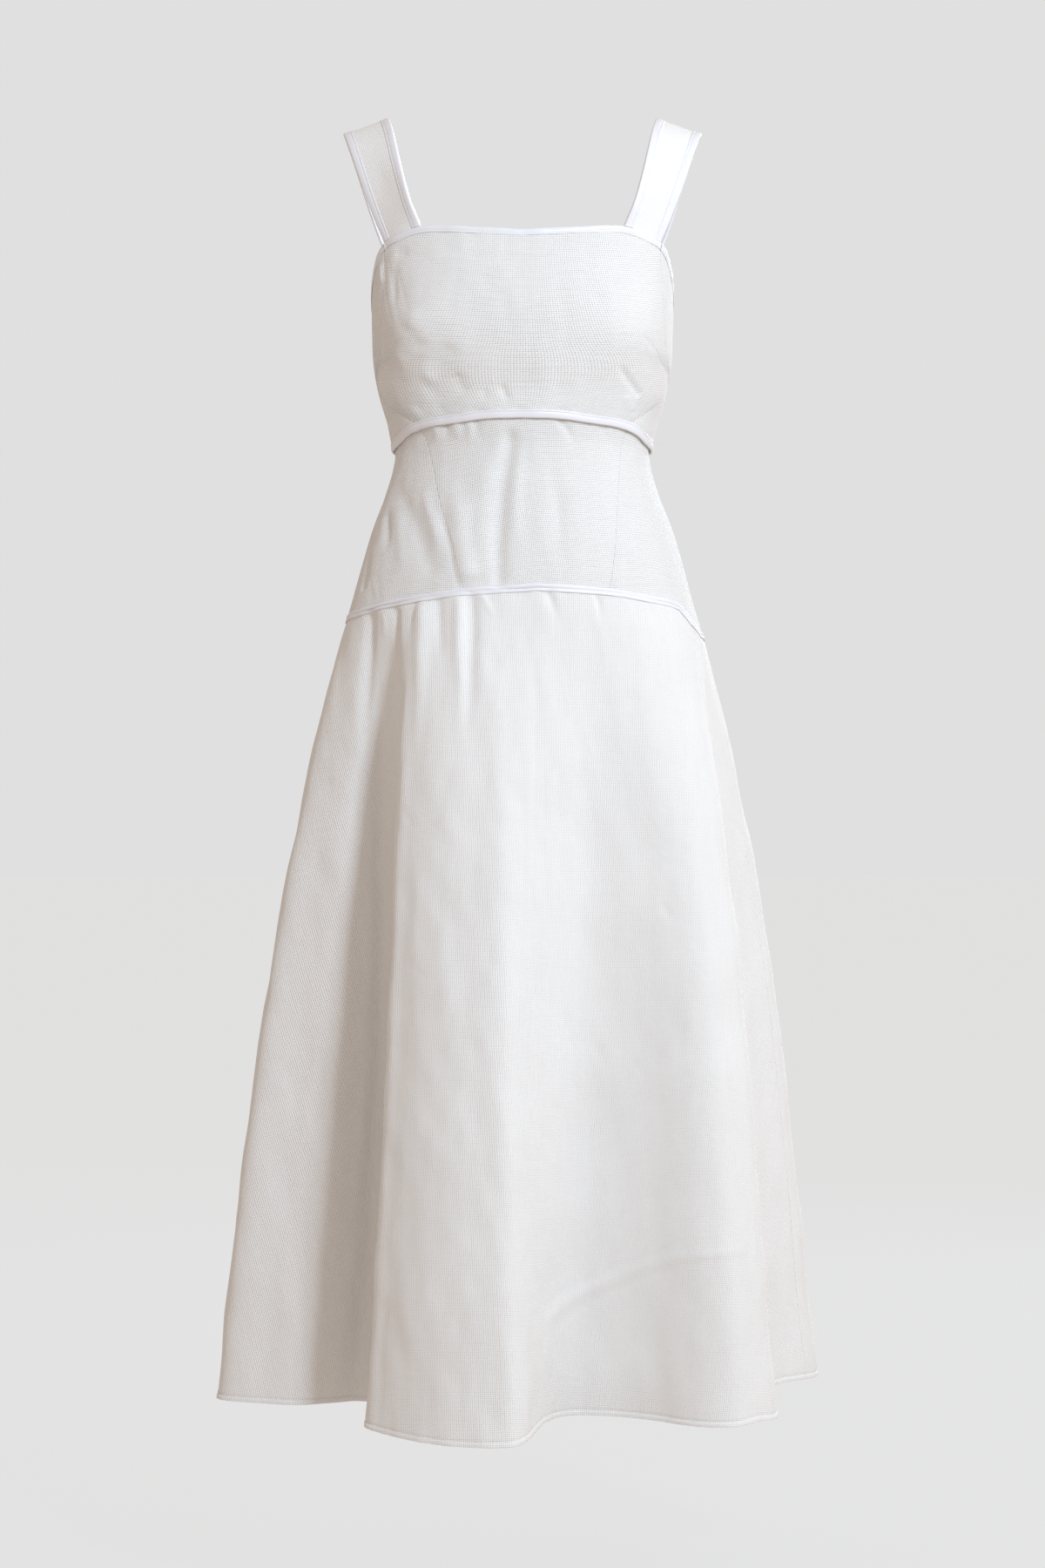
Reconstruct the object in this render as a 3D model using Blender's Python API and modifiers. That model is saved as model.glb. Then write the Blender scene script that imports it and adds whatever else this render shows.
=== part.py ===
"""A sleeveless midi sundress, filled out as it hangs from its two wide shoulder straps.

Metres, +Z up. The front faces -Y and the wearer's left is +X. The origin is midway between the two
straps, level with the tops of their centre lines. Every panel is placed by an angle round the body, 0 at
the centre front and 180 at the centre back, and by a height z.
"""

import math
from collections import namedtuple

import bmesh
import bpy
import numpy as np
from mathutils import Vector

# ---------------------------------------------------------------- driving dimensions
CLOTH = 0.0015  # one layer of the heavy basket weave
STRAP_CLOTH = 0.0020  # the straps are double
TRIM = 0.0008  # satin bias binding, on the outside of the edge that it finishes
TAPE = 0.0010  # zip tape
SEAM_GAP = 0.0005  # between two pieces that a seam joins, on the outside of a curved wall
LAYER_GAP = 0.0004  # between two layers that lie on each other

STRAP_WIDTH = 0.045
STRAP_SLOPE = 19.0  # degrees that a strap falls towards its outer edge
STRAP_INNER, STRAP_OUTER = 36.5, 62.0  # angles of a strap's edges where it meets the bodice
STRAP_TUCK = 0.009  # how far a strap's end is sewn in behind the bodice

NECK_TRIM_WIDTH = 0.0062
STRAP_TRIM_WIDTH = 0.0080
UNDERBUST_TRIM_WIDTH = 0.0076
YOKE_TRIM_WIDTH = 0.0070
TRIM_OVERHANG = 0.0006  # how far a binding stands past the edge that it finishes
TRIM_GAP = 0.0006  # under the bindings that run round the body, whose columns are not the panels' own

BODICE_LIFT = 0.0025  # how far the bodice's bound lower edge stands off the midriff
BODICE_LIFT_HEIGHT = 0.030
MIDRIFF_TUCK = 0.005  # how far the midriff goes up behind that edge

CUP_FULLNESS = 0.008  # what the bust darts give, at the middle of each cup
CUP_ANGLE, CUP_SPREAD = 40.0, 19.0
CUP_HEIGHT, CUP_RISE = -0.207, 0.042

ZIP_LENGTH = 0.435
ZIP_TAPE_WIDTH = 0.012
ZIP_START = 0.0075  # below the back's top edge

# The torso's cross-sections: half width, depth in front of and behind the side line, and the power of the
# superellipse, 2 for an ellipse and more for a squarer one.
Section = namedtuple("Section", "z half_width front back power")
TORSO = [
    Section(-0.060, 0.1430, 0.080, 0.094, 2.60),
    Section(-0.097, 0.1455, 0.091, 0.100, 2.60),
    Section(-0.130, 0.1460, 0.102, 0.106, 2.50),
    Section(-0.165, 0.1460, 0.111, 0.108, 2.40),
    Section(-0.200, 0.1455, 0.114, 0.106, 2.35),
    Section(-0.235, 0.1435, 0.110, 0.101, 2.30),
    Section(-0.262, 0.1385, 0.104, 0.096, 2.20),
    Section(-0.290, 0.1300, 0.099, 0.091, 2.15),
    Section(-0.315, 0.1230, 0.096, 0.089, 2.10),
    Section(-0.330, 0.1250, 0.097, 0.091, 2.10),
    Section(-0.357, 0.1330, 0.102, 0.098, 2.10),
    Section(-0.382, 0.1420, 0.107, 0.107, 2.10),
    Section(-0.407, 0.1500, 0.112, 0.116, 2.15),
    Section(-0.433, 0.1570, 0.116, 0.123, 2.20),
    Section(-0.458, 0.1640, 0.119, 0.128, 2.20),
    Section(-0.483, 0.1715, 0.123, 0.132, 2.20),
    Section(-0.520, 0.1820, 0.128, 0.138, 2.20),
]

# Heights of the three edges that run round the body, by the angle from the centre front.
EdgePoint = namedtuple("EdgePoint", "angle z")
TOP_EDGE = [  # the same on both sides: neck, strap, armhole, strap, back neck
    EdgePoint(0.0, -0.1125),
    EdgePoint(14.0, -0.1100),
    EdgePoint(36.5, -0.1083),
    EdgePoint(50.0, -0.1140),
    EdgePoint(62.0, -0.1210),
    EdgePoint(69.0, -0.1295),
    EdgePoint(79.0, -0.1500),
    EdgePoint(89.0, -0.1700),
    EdgePoint(98.0, -0.1775),
    EdgePoint(107.0, -0.1640),
    EdgePoint(113.0, -0.1420),
    EdgePoint(118.0, -0.1240),
    EdgePoint(130.0, -0.1160),
    EdgePoint(143.5, -0.1130),
    EdgePoint(180.0, -0.1150),
]
UNDERBUST = [  # the same on both sides
    EdgePoint(0.0, -0.2895),
    EdgePoint(14.0, -0.2902),
    EdgePoint(28.0, -0.2935),
    EdgePoint(40.0, -0.2955),
    EdgePoint(50.0, -0.2985),
    EdgePoint(60.0, -0.3035),
    EdgePoint(68.0, -0.3085),
    EdgePoint(90.0, -0.3140),
    EdgePoint(130.0, -0.3150),
    EdgePoint(180.0, -0.3130),
]
YOKE = [  # the wearer's right is the negative side; the seam drops to its back half on the left
    EdgePoint(-180.0, -0.4960),
    EdgePoint(-130.0, -0.4880),
    EdgePoint(-94.0, -0.4760),
    EdgePoint(-69.0, -0.4722),
    EdgePoint(-52.0, -0.4655),
    EdgePoint(-35.0, -0.4600),
    EdgePoint(-17.3, -0.4546),
    EdgePoint(4.0, -0.4500),
    EdgePoint(27.5, -0.4540),
    EdgePoint(44.0, -0.4595),
    EdgePoint(56.0, -0.4625),
    EdgePoint(62.5, -0.4660),
    EdgePoint(69.0, -0.4800),
    EdgePoint(78.0, -0.4910),
    EdgePoint(95.0, -0.4935),
    EdgePoint(130.0, -0.4960),
    EdgePoint(180.0, -0.4960),
]

# Seams that run down, as places on the body from top to bottom.
SeamPoint = namedtuple("SeamPoint", "angle z")
BODICE_FRONT_SEAM = [  # curves out to the side below the dart, then sweeps in under the bust
    SeamPoint(62.0, -0.1210),
    SeamPoint(61.5, -0.1420),
    SeamPoint(62.8, -0.1760),
    SeamPoint(65.0, -0.2060),
    SeamPoint(70.0, -0.2280),
    SeamPoint(77.0, -0.2400),
    SeamPoint(80.0, -0.2510),
    SeamPoint(78.0, -0.2620),
    SeamPoint(71.0, -0.2720),
    SeamPoint(62.0, -0.2800),
    SeamPoint(53.0, -0.2880),
    SeamPoint(46.0, -0.2965),
]
BODICE_BACK_SEAM = [
    SeamPoint(118.0, -0.1240),
    SeamPoint(114.0, -0.2100),
    SeamPoint(108.0, -0.3150),
]
MIDRIFF_FRONT_SEAM_LEFT = [
    SeamPoint(51.0, -0.3000),
    SeamPoint(48.0, -0.3250),
    SeamPoint(41.0, -0.3650),
    SeamPoint(32.5, -0.4200),
    SeamPoint(27.5, -0.4540),
]
MIDRIFF_FRONT_SEAM_RIGHT = [
    SeamPoint(-49.5, -0.3000),
    SeamPoint(-45.5, -0.3220),
    SeamPoint(-34.0, -0.3700),
    SeamPoint(-24.5, -0.4100),
    SeamPoint(-17.3, -0.4546),
]
MIDRIFF_SIDE_SEAM = [
    SeamPoint(86.0, -0.3130),
    SeamPoint(85.0, -0.3800),
    SeamPoint(85.0, -0.4300),
    SeamPoint(86.0, -0.4915),
]

# The hem from above, in the order of the angles that its folds leave the yoke at. A row is the crest or
# the bottom of a fold, or the turn beside one. Growth says how soon a fold shows on its way down: at 1 it
# grows evenly, and at 3 it is nearly full grown half way down.
HemPoint = namedtuple("HemPoint", "fold angle x y z growth")
HEM = [
    HemPoint("right back valley", -118.0, -0.232, 0.150, -1.222, 1.3),
    HemPoint("right back crest", -103.0, -0.286, 0.086, -1.225, 1.6),
    HemPoint("right corner", -88.0, -0.2965, 0.016, -1.2265, 2.2),
    HemPoint("right panel turn", -80.0, -0.289, -0.010, -1.2262, 2.6),
    HemPoint("right panel", -71.0, -0.254, -0.027, -1.2265, 2.75),
    HemPoint("right panel crest", -63.0, -0.214, -0.040, -1.2265, 2.75),
    HemPoint("right panel end", -56.5, -0.1835, -0.030, -1.226, 2.6),
    HemPoint("deep valley", -50.0, -0.156, -0.018, -1.2262, 2.4),
    HemPoint("deep valley foot", -46.0, -0.13, -0.036, -1.2258, 2.2),
    HemPoint("front crest wall", -41.5, -0.1365, -0.105, -1.2255, 2.0),
    HemPoint("front crest edge", -36.5, -0.1445, -0.165, -1.2262, 2.0),
    HemPoint("front crest turn", -31.5, -0.1300, -0.188, -1.2282, 2.0),
    HemPoint("front crest slope", -26.0, -0.1070, -0.212, -1.2300, 1.7),
    HemPoint("front crest start", -20.0, -0.0790, -0.230, -1.2318, 1.5),
    HemPoint("front crest", -13.0, -0.0430, -0.241, -1.2328, 1.3),
    HemPoint("front crest end", -6.0, -0.0063, -0.2415, -1.2318, 1.3),
    HemPoint("front crest lip", -2.2, 0.0034, -0.228, -1.2296, 1.2),
    HemPoint("centre step", 4.0, 0.0125, -0.190, -1.2268, 1.0),
    HemPoint("centre valley start", 10.5, 0.0220, -0.150, -1.2246, 1.0),
    HemPoint("centre valley rise", 15.5, 0.0350, -0.124, -1.2240, 1.0),
    HemPoint("centre valley", 19.5, 0.0505, -0.113, -1.2240, 1.0),
    HemPoint("centre valley slope", 24.0, 0.0733, -0.1155, -1.2242, 1.0),
    HemPoint("centre valley end", 28.5, 0.0975, -0.1225, -1.2248, 1.0),
    HemPoint("left crest foot", 33.0, 0.1215, -0.133, -1.2256, 1.0),
    HemPoint("left crest start", 39.5, 0.1490, -0.152, -1.2268, 1.0),
    HemPoint("left crest rise", 44.5, 0.1704, -0.162, -1.2274, 1.1),
    HemPoint("left crest", 50.0, 0.1950, -0.164, -1.2270, 1.2),
    HemPoint("left crest end", 57.0, 0.2180, -0.146, -1.2245, 1.3),
    HemPoint("left crest edge", 63.5, 0.2385, -0.108, -1.2262, 1.3),
    HemPoint("left valley wall", 67.5, 0.2350, -0.040, -1.2255, 1.3),
    HemPoint("left valley", 72.0, 0.2280, 0.030, -1.2245, 1.3),
    HemPoint("left back turn", 77.0, 0.2480, 0.073, -1.2243, 1.3),
    HemPoint("left corner", 88.0, 0.2930, 0.126, -1.2238, 1.3),
    HemPoint("left back crest", 98.0, 0.2850, 0.176, -1.2240, 1.3),
    HemPoint("left back slope", 108.0, 0.2440, 0.202, -1.2225, 1.3),
    HemPoint("left back valley", 120.0, 0.1930, 0.186, -1.2200, 1.3),
    HemPoint("left rear crest", 137.0, 0.1400, 0.246, -1.2240, 1.3),
    HemPoint("left rear slope", 150.0, 0.0840, 0.262, -1.2240, 1.3),
    HemPoint("centre back", 168.0, 0.0380, 0.205, -1.2200, 1.3),
    HemPoint("centre back right", 190.0, -0.0340, 0.203, -1.2200, 1.3),
    HemPoint("right rear crest", 209.0, -0.0900, 0.266, -1.2250, 1.3),
    HemPoint("right rear slope", 224.0, -0.1500, 0.252, -1.2240, 1.3),
]
HEM_HALF_WIDTH, HEM_FRONT, HEM_BACK, HEM_POWER = 0.297, 0.185, 0.215, 2.2  # the hem with no folds
FLARE = (1.75, -1.20, 0.45)  # cubic: the skirt springs out below the yoke and falls straighter lower down
SOFT_START = 0.01  # share of the skirt's length in which its folds set in under the yoke

# A strap's centre line on the wearer's left, on its outer face, from the front edge over the shoulder to
# the back edge. Turn is the angle that its width makes with the X axis.
StrapPoint = namedtuple("StrapPoint", "x y z turn")
STRAP = [
    StrapPoint(0.1237, -0.0655, -0.0895, 38.0),
    StrapPoint(0.1345, -0.0590, -0.0550, 29.0),
    StrapPoint(0.1450, -0.0360, -0.0180, 14.0),
    StrapPoint(0.1510, 0.0000, 0.0000, 0.0),
    StrapPoint(0.1450, 0.0370, -0.0180, -14.0),
    StrapPoint(0.1350, 0.0620, -0.0550, -29.0),
    StrapPoint(0.1245, 0.0705, -0.0900, -38.0),
]

WHITE_CLOTH = ("white_cloth", (0.86, 0.85, 0.83), 0.92, 0.0)
WHITE_SATIN = ("white_satin", (0.84, 0.84, 0.88), 0.38, 0.0)
WHITE_TAPE = ("white_tape", (0.80, 0.80, 0.80), 0.80, 0.0)
WHITE_ENAMEL = ("white_enamel", (0.82, 0.82, 0.82), 0.35, 0.2)


# ---------------------------------------------------------------- curves and surfaces
def through(knots, values, at):
    """A smooth curve through the values at the knots, read at one place."""
    knots, values = np.asarray(knots, float), np.asarray(values, float)
    slopes = np.gradient(values, knots)
    i = int(np.clip(np.searchsorted(knots, at) - 1, 0, len(knots) - 2))
    span = knots[i + 1] - knots[i]
    s = min(max((at - knots[i]) / span, 0.0), 1.0)
    return (
        values[i] * (1 + 2 * s) * (1 - s) ** 2
        + values[i + 1] * s * s * (3 - 2 * s)
        + span * slopes[i] * s * (1 - s) ** 2
        - span * slopes[i + 1] * s * s * (1 - s)
    )


def columns(rows, *names):
    return [[getattr(row, name) for row in rows] for name in names]


def ring_point(angle, half_width, front, back, power):
    """A point of a superellipse, at an angle measured from the front."""
    s, c = math.sin(math.radians(angle)), math.cos(math.radians(angle))
    exponent = 2.0 / power
    depth = front if c > 0 else back
    x = math.copysign(half_width * abs(s) ** exponent, s)
    y = -math.copysign(depth * abs(c) ** exponent, c)
    return x, y


SECTION_Z, *SECTION_SIZES = columns(TORSO[::-1], "z", "half_width", "front", "back", "power")


def torso(angle, z):
    """The body surface that the bodice and the midriff follow."""
    half_width, front, back, power = (through(SECTION_Z, sizes, z) for sizes in SECTION_SIZES)
    across = (abs(wrapped(angle)) - CUP_ANGLE) / CUP_SPREAD
    cup = CUP_FULLNESS * math.exp(-(across**2) - ((z - CUP_HEIGHT) / CUP_RISE) ** 2)
    x, y = ring_point(angle, half_width + cup, front + cup, back, power)
    return Vector((x, y, z))


def wrapped(angle):
    """The same direction, from -180 to 180."""
    return (angle + 180.0) % 360.0 - 180.0


def top_edge(angle):
    return through(*columns(TOP_EDGE, "angle", "z"), abs(wrapped(angle)))


def underbust(angle):
    return through(*columns(UNDERBUST, "angle", "z"), abs(wrapped(angle)))


def yoke(angle):
    """Straight from row to row, so that the panels above and below it meet whatever their columns."""
    return float(np.interp(wrapped(angle), *columns(YOKE, "angle", "z")))


def rounded_step(x):
    x = min(max(x, 0.0), 1.0)
    return x * x * (3 - 2 * x)


def bodice(angle, z):
    """The torso, standing off it along the loose lower edge."""
    near_edge = rounded_step(1 - (z - underbust(angle)) / BODICE_LIFT_HEIGHT)
    out = normal(torso, angle, z)
    return torso(angle, z) + out * (BODICE_LIFT * near_edge)


HEM_LAP = 4  # rows repeated past each end, so that the curve closes smoothly
WRAPPED_HEM = (
    [row._replace(angle=row.angle - 360) for row in HEM[-HEM_LAP:]]
    + HEM
    + [row._replace(angle=row.angle + 360) for row in HEM[:HEM_LAP]]
)
HEM_ANGLES, HEM_GROWTHS, *HEM_PLACES = columns(WRAPPED_HEM, "angle", "growth", "x", "y", "z")


def on_hem(values, angle):
    return through(HEM_ANGLES, values, (angle - HEM[0].angle) % 360.0 + HEM[0].angle)


def hem(angle):
    """The hem's folded line, at the angle where its thread leaves the yoke."""
    return Vector(on_hem(places, angle) for places in HEM_PLACES)


def skirt(angle, z):
    """The skirt: the yoke's ring flares out to the hem's, and its folds grow on the way down."""
    start, end = torso(angle, yoke(angle)), hem(angle)
    t = (start.z - z) / (start.z - end.z)
    flare = sum(factor * t ** (i + 1) for i, factor in enumerate(FLARE))
    soft = t * t / (t + SOFT_START)
    growth = t * t + on_hem(HEM_GROWTHS, angle) * soft * (1 - t)
    plain_x, plain_y = ring_point(angle, HEM_HALF_WIDTH, HEM_FRONT, HEM_BACK, HEM_POWER)
    x = start.x + (plain_x - start.x) * flare + (end.x - plain_x) * growth
    y = start.y + (plain_y - start.y) * flare + (end.y - plain_y) * growth
    return Vector((x, y, z))


def normal(surface, angle, z):
    """The surface's outward direction."""
    turn, drop = 0.25, 0.0005
    around = surface(angle + turn, z) - surface(angle - turn, z)
    down = surface(angle, z - drop) - surface(angle, z + drop)
    return down.cross(around).normalized()


def moved_out(surface, angle, z, distance):
    return surface(angle, z) + normal(surface, angle, z) * distance


# ---------------------------------------------------------------- places on a surface
Piece = namedtuple("Piece", "name columns")
BODICE = [  # round the body, from the centre back to the centre back
    Piece("bodice_back_right", 9),
    Piece("bodice_side_right", 8),
    Piece("bodice_front", 20),
    Piece("bodice_side_left", 8),
    Piece("bodice_back_left", 9),
]
MIDRIFF = [
    Piece("midriff_back_right", 13),
    Piece("midriff_side_right", 5),
    Piece("midriff_front", 12),
    Piece("midriff_side_left", 5),
    Piece("midriff_back_left", 13),
]
# Each panel's rows, as shares of the way down it: closest at the bound edge, the waist and the yoke.
BODICE_SHARES = (0.0, 0.11, 0.22, 0.33, 0.44, 0.55, 0.66, 0.77, 0.87, 0.955, 1.0)
MIDRIFF_SHARES = (0.0, 0.035, 0.11, 0.19, 0.28, 0.42, 0.60, 0.80, 1.0)
SKIRT_SHARES = (0.0, 0.055, 0.15, 0.28, 0.44, 0.62, 0.81, 1.0)


def along(points, shares):
    """Places at shares of the length of the smooth line through the points."""
    knots = np.arange(len(points))
    fine = np.linspace(0, len(points) - 1, 40 * len(points))
    angles = [through(knots, [angle for angle, _ in points], k) for k in fine]
    heights = [through(knots, [z for _, z in points], k) for k in fine]
    places = [torso(angle, z) for angle, z in zip(angles, heights)]
    run = np.cumsum([0.0] + [(after - before).length for before, after in zip(places, places[1:])])
    marks = np.asarray(shares) * run[-1]
    return list(zip(np.interp(marks, run, angles), np.interp(marks, run, heights)))


def mirrored(points):
    return [(-angle, z) for angle, z in points]


def straight_down(angle):
    return [(angle, -0.1), (angle, -0.5)]


def beside(surface, line, distance):
    """The line moved sideways on the surface: to the side of larger angles, or up where it runs round."""
    moved = []
    for i, (angle, z) in enumerate(line):
        before, after = line[max(i - 1, 0)], line[min(i + 1, len(line) - 1)]
        run = surface(*after) - surface(*before)
        aside = run.cross(normal(surface, angle, z)).normalized()
        degree = surface(angle + 0.5, z) - surface(angle - 0.5, z)
        turn = aside.dot(degree.normalized()) / degree.length
        moved.append((angle - distance * turn, z - distance * aside.z))
    return moved


def onto_edges(line, shares, top, bottom):
    """The line shifted in height, so that its ends lie on the edges that it runs between."""
    (first_angle, first_z), (last_angle, last_z) = line[0], line[-1]
    first, last = top(first_angle) - first_z, bottom(last_angle) - last_z
    return [(angle, z + first * (1 - v) + last * v) for (angle, z), v in zip(line, shares)]


def slid_onto_edges(line, top, bottom):
    """The line with each end slid along its own direction, onto the edge that it meets."""
    line = list(line)
    for end, inner, edge in ((0, 1, top), (-1, -2, bottom)):
        for _ in range(3):
            (angle, z), (inner_angle, inner_z) = line[end], line[inner]
            slide = (edge(angle) - z) / (z - inner_z)
            line[end] = (angle + (angle - inner_angle) * slide, z + (z - inner_z) * slide)
    return line


def ring(ends, pieces, stations=()):
    """The angles of each piece's columns along an edge: even, then the nearest moved to each station."""
    angles = []
    for start, end, piece in zip(ends, ends[1:], pieces):
        stretch = np.linspace(start, end, piece.columns + 1)
        for station in stations:
            if start + 1 < station < end - 1:
                nearest = 1 + int(np.argmin(np.abs(stretch[1:-1] - station)))
                stretch[nearest] = station
        angles.append(list(stretch))
    return angles


def shares_of(angles):
    return [(angle - angles[0]) / (angles[-1] - angles[0]) for angle in angles]


def between(left, right, shares, edges, top_angles, bottom_angles):
    """Rows of places between a left and a right line. The first and last rows lie on the two edges, with
    columns at the given angles."""
    top, bottom = edges
    top_shares, bottom_shares = shares_of(top_angles), shares_of(bottom_angles)
    rows = []
    for v, start, end in zip(shares, left, right):
        row = []
        for u_top, u_bottom in zip(top_shares, bottom_shares):
            u = u_top * (1 - v) + u_bottom * v
            upper = left[0][0] + (right[0][0] - left[0][0]) * u_top
            lower = left[-1][0] + (right[-1][0] - left[-1][0]) * u_bottom
            z = top(upper) * (1 - v) + bottom(lower) * v
            for line, place, nearness in ((left, start, 1 - u), (right, end, u)):
                z += (place[1] - top(line[0][0]) * (1 - v) - bottom(line[-1][0]) * v) * nearness
            row.append((start[0] + (end[0] - start[0]) * u, z))
        rows.append(row)
    return rows


def panels(surface, pieces, seams, shares, edges, top_ring, bottom_ring):
    """Each piece's rows of places, between the seams on its two sides."""
    found = {}
    for i, piece in enumerate(pieces):
        sides = []
        for seam, aside in ((seams[i], SEAM_GAP / 2), (seams[i + 1], -SEAM_GAP / 2)):
            line = onto_edges(along(seam, shares), shares, *edges)
            sides.append(slid_onto_edges(beside(surface, line, aside), *edges))
        found[piece.name] = between(*sides, shares, edges, top_ring[i], bottom_ring[i])
    return found


def on_surface(surface, rows, out=0.0):
    return [[moved_out(surface, angle, z, out) for angle, z in row] for row in rows]


# ---------------------------------------------------------------- making objects
def clear_scene():
    for obj in list(bpy.data.objects):
        bpy.data.objects.remove(obj, do_unlink=True)


def new_collection(name, hidden=False):
    collection = bpy.data.collections.new(name)
    bpy.context.scene.collection.children.link(collection)
    collection.hide_render = hidden
    return collection


def finish_for(look):
    name, colour, roughness, metallic = look
    material = bpy.data.materials.get(name)
    if material is None:
        material = bpy.data.materials.new(name)
        material.use_nodes = True
        shader = material.node_tree.nodes["Principled BSDF"]
        shader.inputs["Base Color"].default_value = (*colour, 1.0)
        shader.inputs["Roughness"].default_value = roughness
        shader.inputs["Metallic"].default_value = metallic
        material.diffuse_color = (*colour, 1.0)
    return material


def add_object(name, mesh, look, collection, parent):
    obj = bpy.data.objects.new(name, mesh)
    collection.objects.link(obj)
    obj.parent = parent
    mesh.materials.append(finish_for(look))
    return obj


def cut_piece(name, points, thickness, look, collection, parent):
    """A piece of cloth: rows of points of its outer face, from the top row down, thickened inwards."""
    mesh = bpy.data.meshes.new(name)
    bm = bmesh.new()
    grid = [[bm.verts.new(point) for point in row] for row in points]
    for upper, lower in zip(grid, grid[1:]):
        for corners in zip(upper, lower, lower[1:], upper[1:]):
            bm.faces.new(corners)
    bm.to_mesh(mesh)
    bm.free()
    mesh.shade_smooth()
    obj = add_object(name, mesh, look, collection, parent)
    solidify = obj.modifiers.new("thickness", "SOLIDIFY")
    solidify.thickness = thickness
    solidify.offset = -1.0
    return obj


# ---------------------------------------------------------------- bodice
BODICE_EDGES = (top_edge, underbust)
BODICE_SEAMS = [
    straight_down(-180.0),
    mirrored(BODICE_BACK_SEAM),
    mirrored(BODICE_FRONT_SEAM),
    BODICE_FRONT_SEAM,
    BODICE_BACK_SEAM,
    straight_down(180.0),
]


def strap_angle(across):
    """Where a thread of a strap meets the bodice's front. across is -1 at the inner edge and 1 at the
    outer one."""
    return STRAP_INNER + (STRAP_OUTER - STRAP_INNER) * (across + 1) / 2


TRIM_SHARE = 2 * STRAP_TRIM_WIDTH / STRAP_WIDTH
STRAP_THREADS = (-1.0, TRIM_SHARE - 1, 0.0, 1 - TRIM_SHARE, 1.0)
FRONT_STATIONS = [strap_angle(across) for across in STRAP_THREADS]
TOP_STATIONS = [
    sign * angle for sign in (1, -1) for front in FRONT_STATIONS for angle in (front, 180.0 - front)
]
TOP_ENDS = [seam[0][0] for seam in BODICE_SEAMS]
UNDERBUST_ENDS = [seam[-1][0] for seam in BODICE_SEAMS]
TOP_RING = ring(TOP_ENDS, BODICE, TOP_STATIONS)
UNDERBUST_RING = ring(UNDERBUST_ENDS, BODICE)


def make_bodice(collection, parent):
    pieces = panels(bodice, BODICE, BODICE_SEAMS, BODICE_SHARES, BODICE_EDGES, TOP_RING, UNDERBUST_RING)
    for name, rows in pieces.items():
        cut_piece(name, on_surface(bodice, rows), CLOTH, WHITE_CLOTH, collection, parent)


# ---------------------------------------------------------------- midriff and skirt
def midriff_top(angle):
    return underbust(angle) + MIDRIFF_TUCK


def above_yoke(angle):
    return yoke(angle) + SEAM_GAP / 2


def below_yoke(angle):
    return yoke(angle) - SEAM_GAP / 2


def hem_height(angle):
    return hem(angle).z


MIDRIFF_EDGES = (midriff_top, above_yoke)
MIDRIFF_SEAMS = [
    straight_down(-180.0),
    mirrored(MIDRIFF_SIDE_SEAM),
    MIDRIFF_FRONT_SEAM_RIGHT,
    MIDRIFF_FRONT_SEAM_LEFT,
    MIDRIFF_SIDE_SEAM,
    straight_down(180.0),
]
YOKE_STATIONS = [row.angle for row in YOKE]
MIDRIFF_RING = ring([seam[0][0] for seam in MIDRIFF_SEAMS], MIDRIFF)
YOKE_RING = ring([seam[-1][0] for seam in MIDRIFF_SEAMS], MIDRIFF, YOKE_STATIONS)


def make_midriff(collection, parent):
    pieces = panels(torso, MIDRIFF, MIDRIFF_SEAMS, MIDRIFF_SHARES, MIDRIFF_EDGES, MIDRIFF_RING, YOKE_RING)
    for name, rows in pieces.items():
        cut_piece(name, on_surface(torso, rows), CLOTH, WHITE_CLOTH, collection, parent)


TURN_LENGTH = 0.045  # hem length that a radian of turning counts for when columns are spaced
SKIRT_SEAM_RIGHT, SKIRT_SEAM_LEFT = -88.0, 84.0
SKIRT = [Piece("skirt_back_right", 14), Piece("skirt_front", 48), Piece("skirt_back_left", 14)]
SKIRT_ENDS = (-180.0, SKIRT_SEAM_RIGHT, SKIRT_SEAM_LEFT, 180.0)


def skirt_columns(start, end, count):
    """Angles from start to end, closest together where the hem turns, with one at each yoke station."""
    fine = np.linspace(start, end, 721)
    points = [hem(angle).xy for angle in fine]
    steps = [after - before for before, after in zip(points, points[1:])]
    turns = [0.0] + [abs(before.angle_signed(after)) for before, after in zip(steps, steps[1:])]
    run = np.cumsum([0.0] + [step.length + TURN_LENGTH * turn for step, turn in zip(steps, turns)])
    angles = np.interp(np.linspace(0, run[-1], count + 1), run, fine)
    for station in YOKE_STATIONS:
        if start + 1 < station < end - 1:
            angles[1 + int(np.argmin(np.abs(angles[1:-1] - station)))] = station
    return list(angles)


def drawn_in(rows):
    """Rows of points with both ends moved in by half a seam's gap."""
    for row in rows:
        row[0] += (row[1] - row[0]).normalized() * (SEAM_GAP / 2)
        row[-1] += (row[-2] - row[-1]).normalized() * (SEAM_GAP / 2)
    return rows


SKIRT_RING = [
    skirt_columns(start, end, piece.columns) for piece, start, end in zip(SKIRT, SKIRT_ENDS, SKIRT_ENDS[1:])
]


def make_skirt(collection, parent):
    for piece, angles in zip(SKIRT, SKIRT_RING):
        places = [
            [(angle, below_yoke(angle) * (1 - t) + hem_height(angle) * t) for angle in angles]
            for t in SKIRT_SHARES
        ]
        cut_piece(piece.name, drawn_in(on_surface(skirt, places)), CLOTH, WHITE_CLOTH, collection, parent)


# ---------------------------------------------------------------- bindings
def band(surface, line, inwards, width):
    """Two rows of points along an edge: one just past it, and one a binding's width inside it. inwards is 1
    where the cloth lies above the edge and -1 where it lies below."""
    past = beside(surface, line, -inwards * TRIM_OVERHANG)
    inside = beside(surface, line, inwards * (width - TRIM_OVERHANG))
    lines = [past, inside] if inwards < 0 else [inside, past]
    return on_surface(surface, lines, TRIM_GAP + TRIM)


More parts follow.
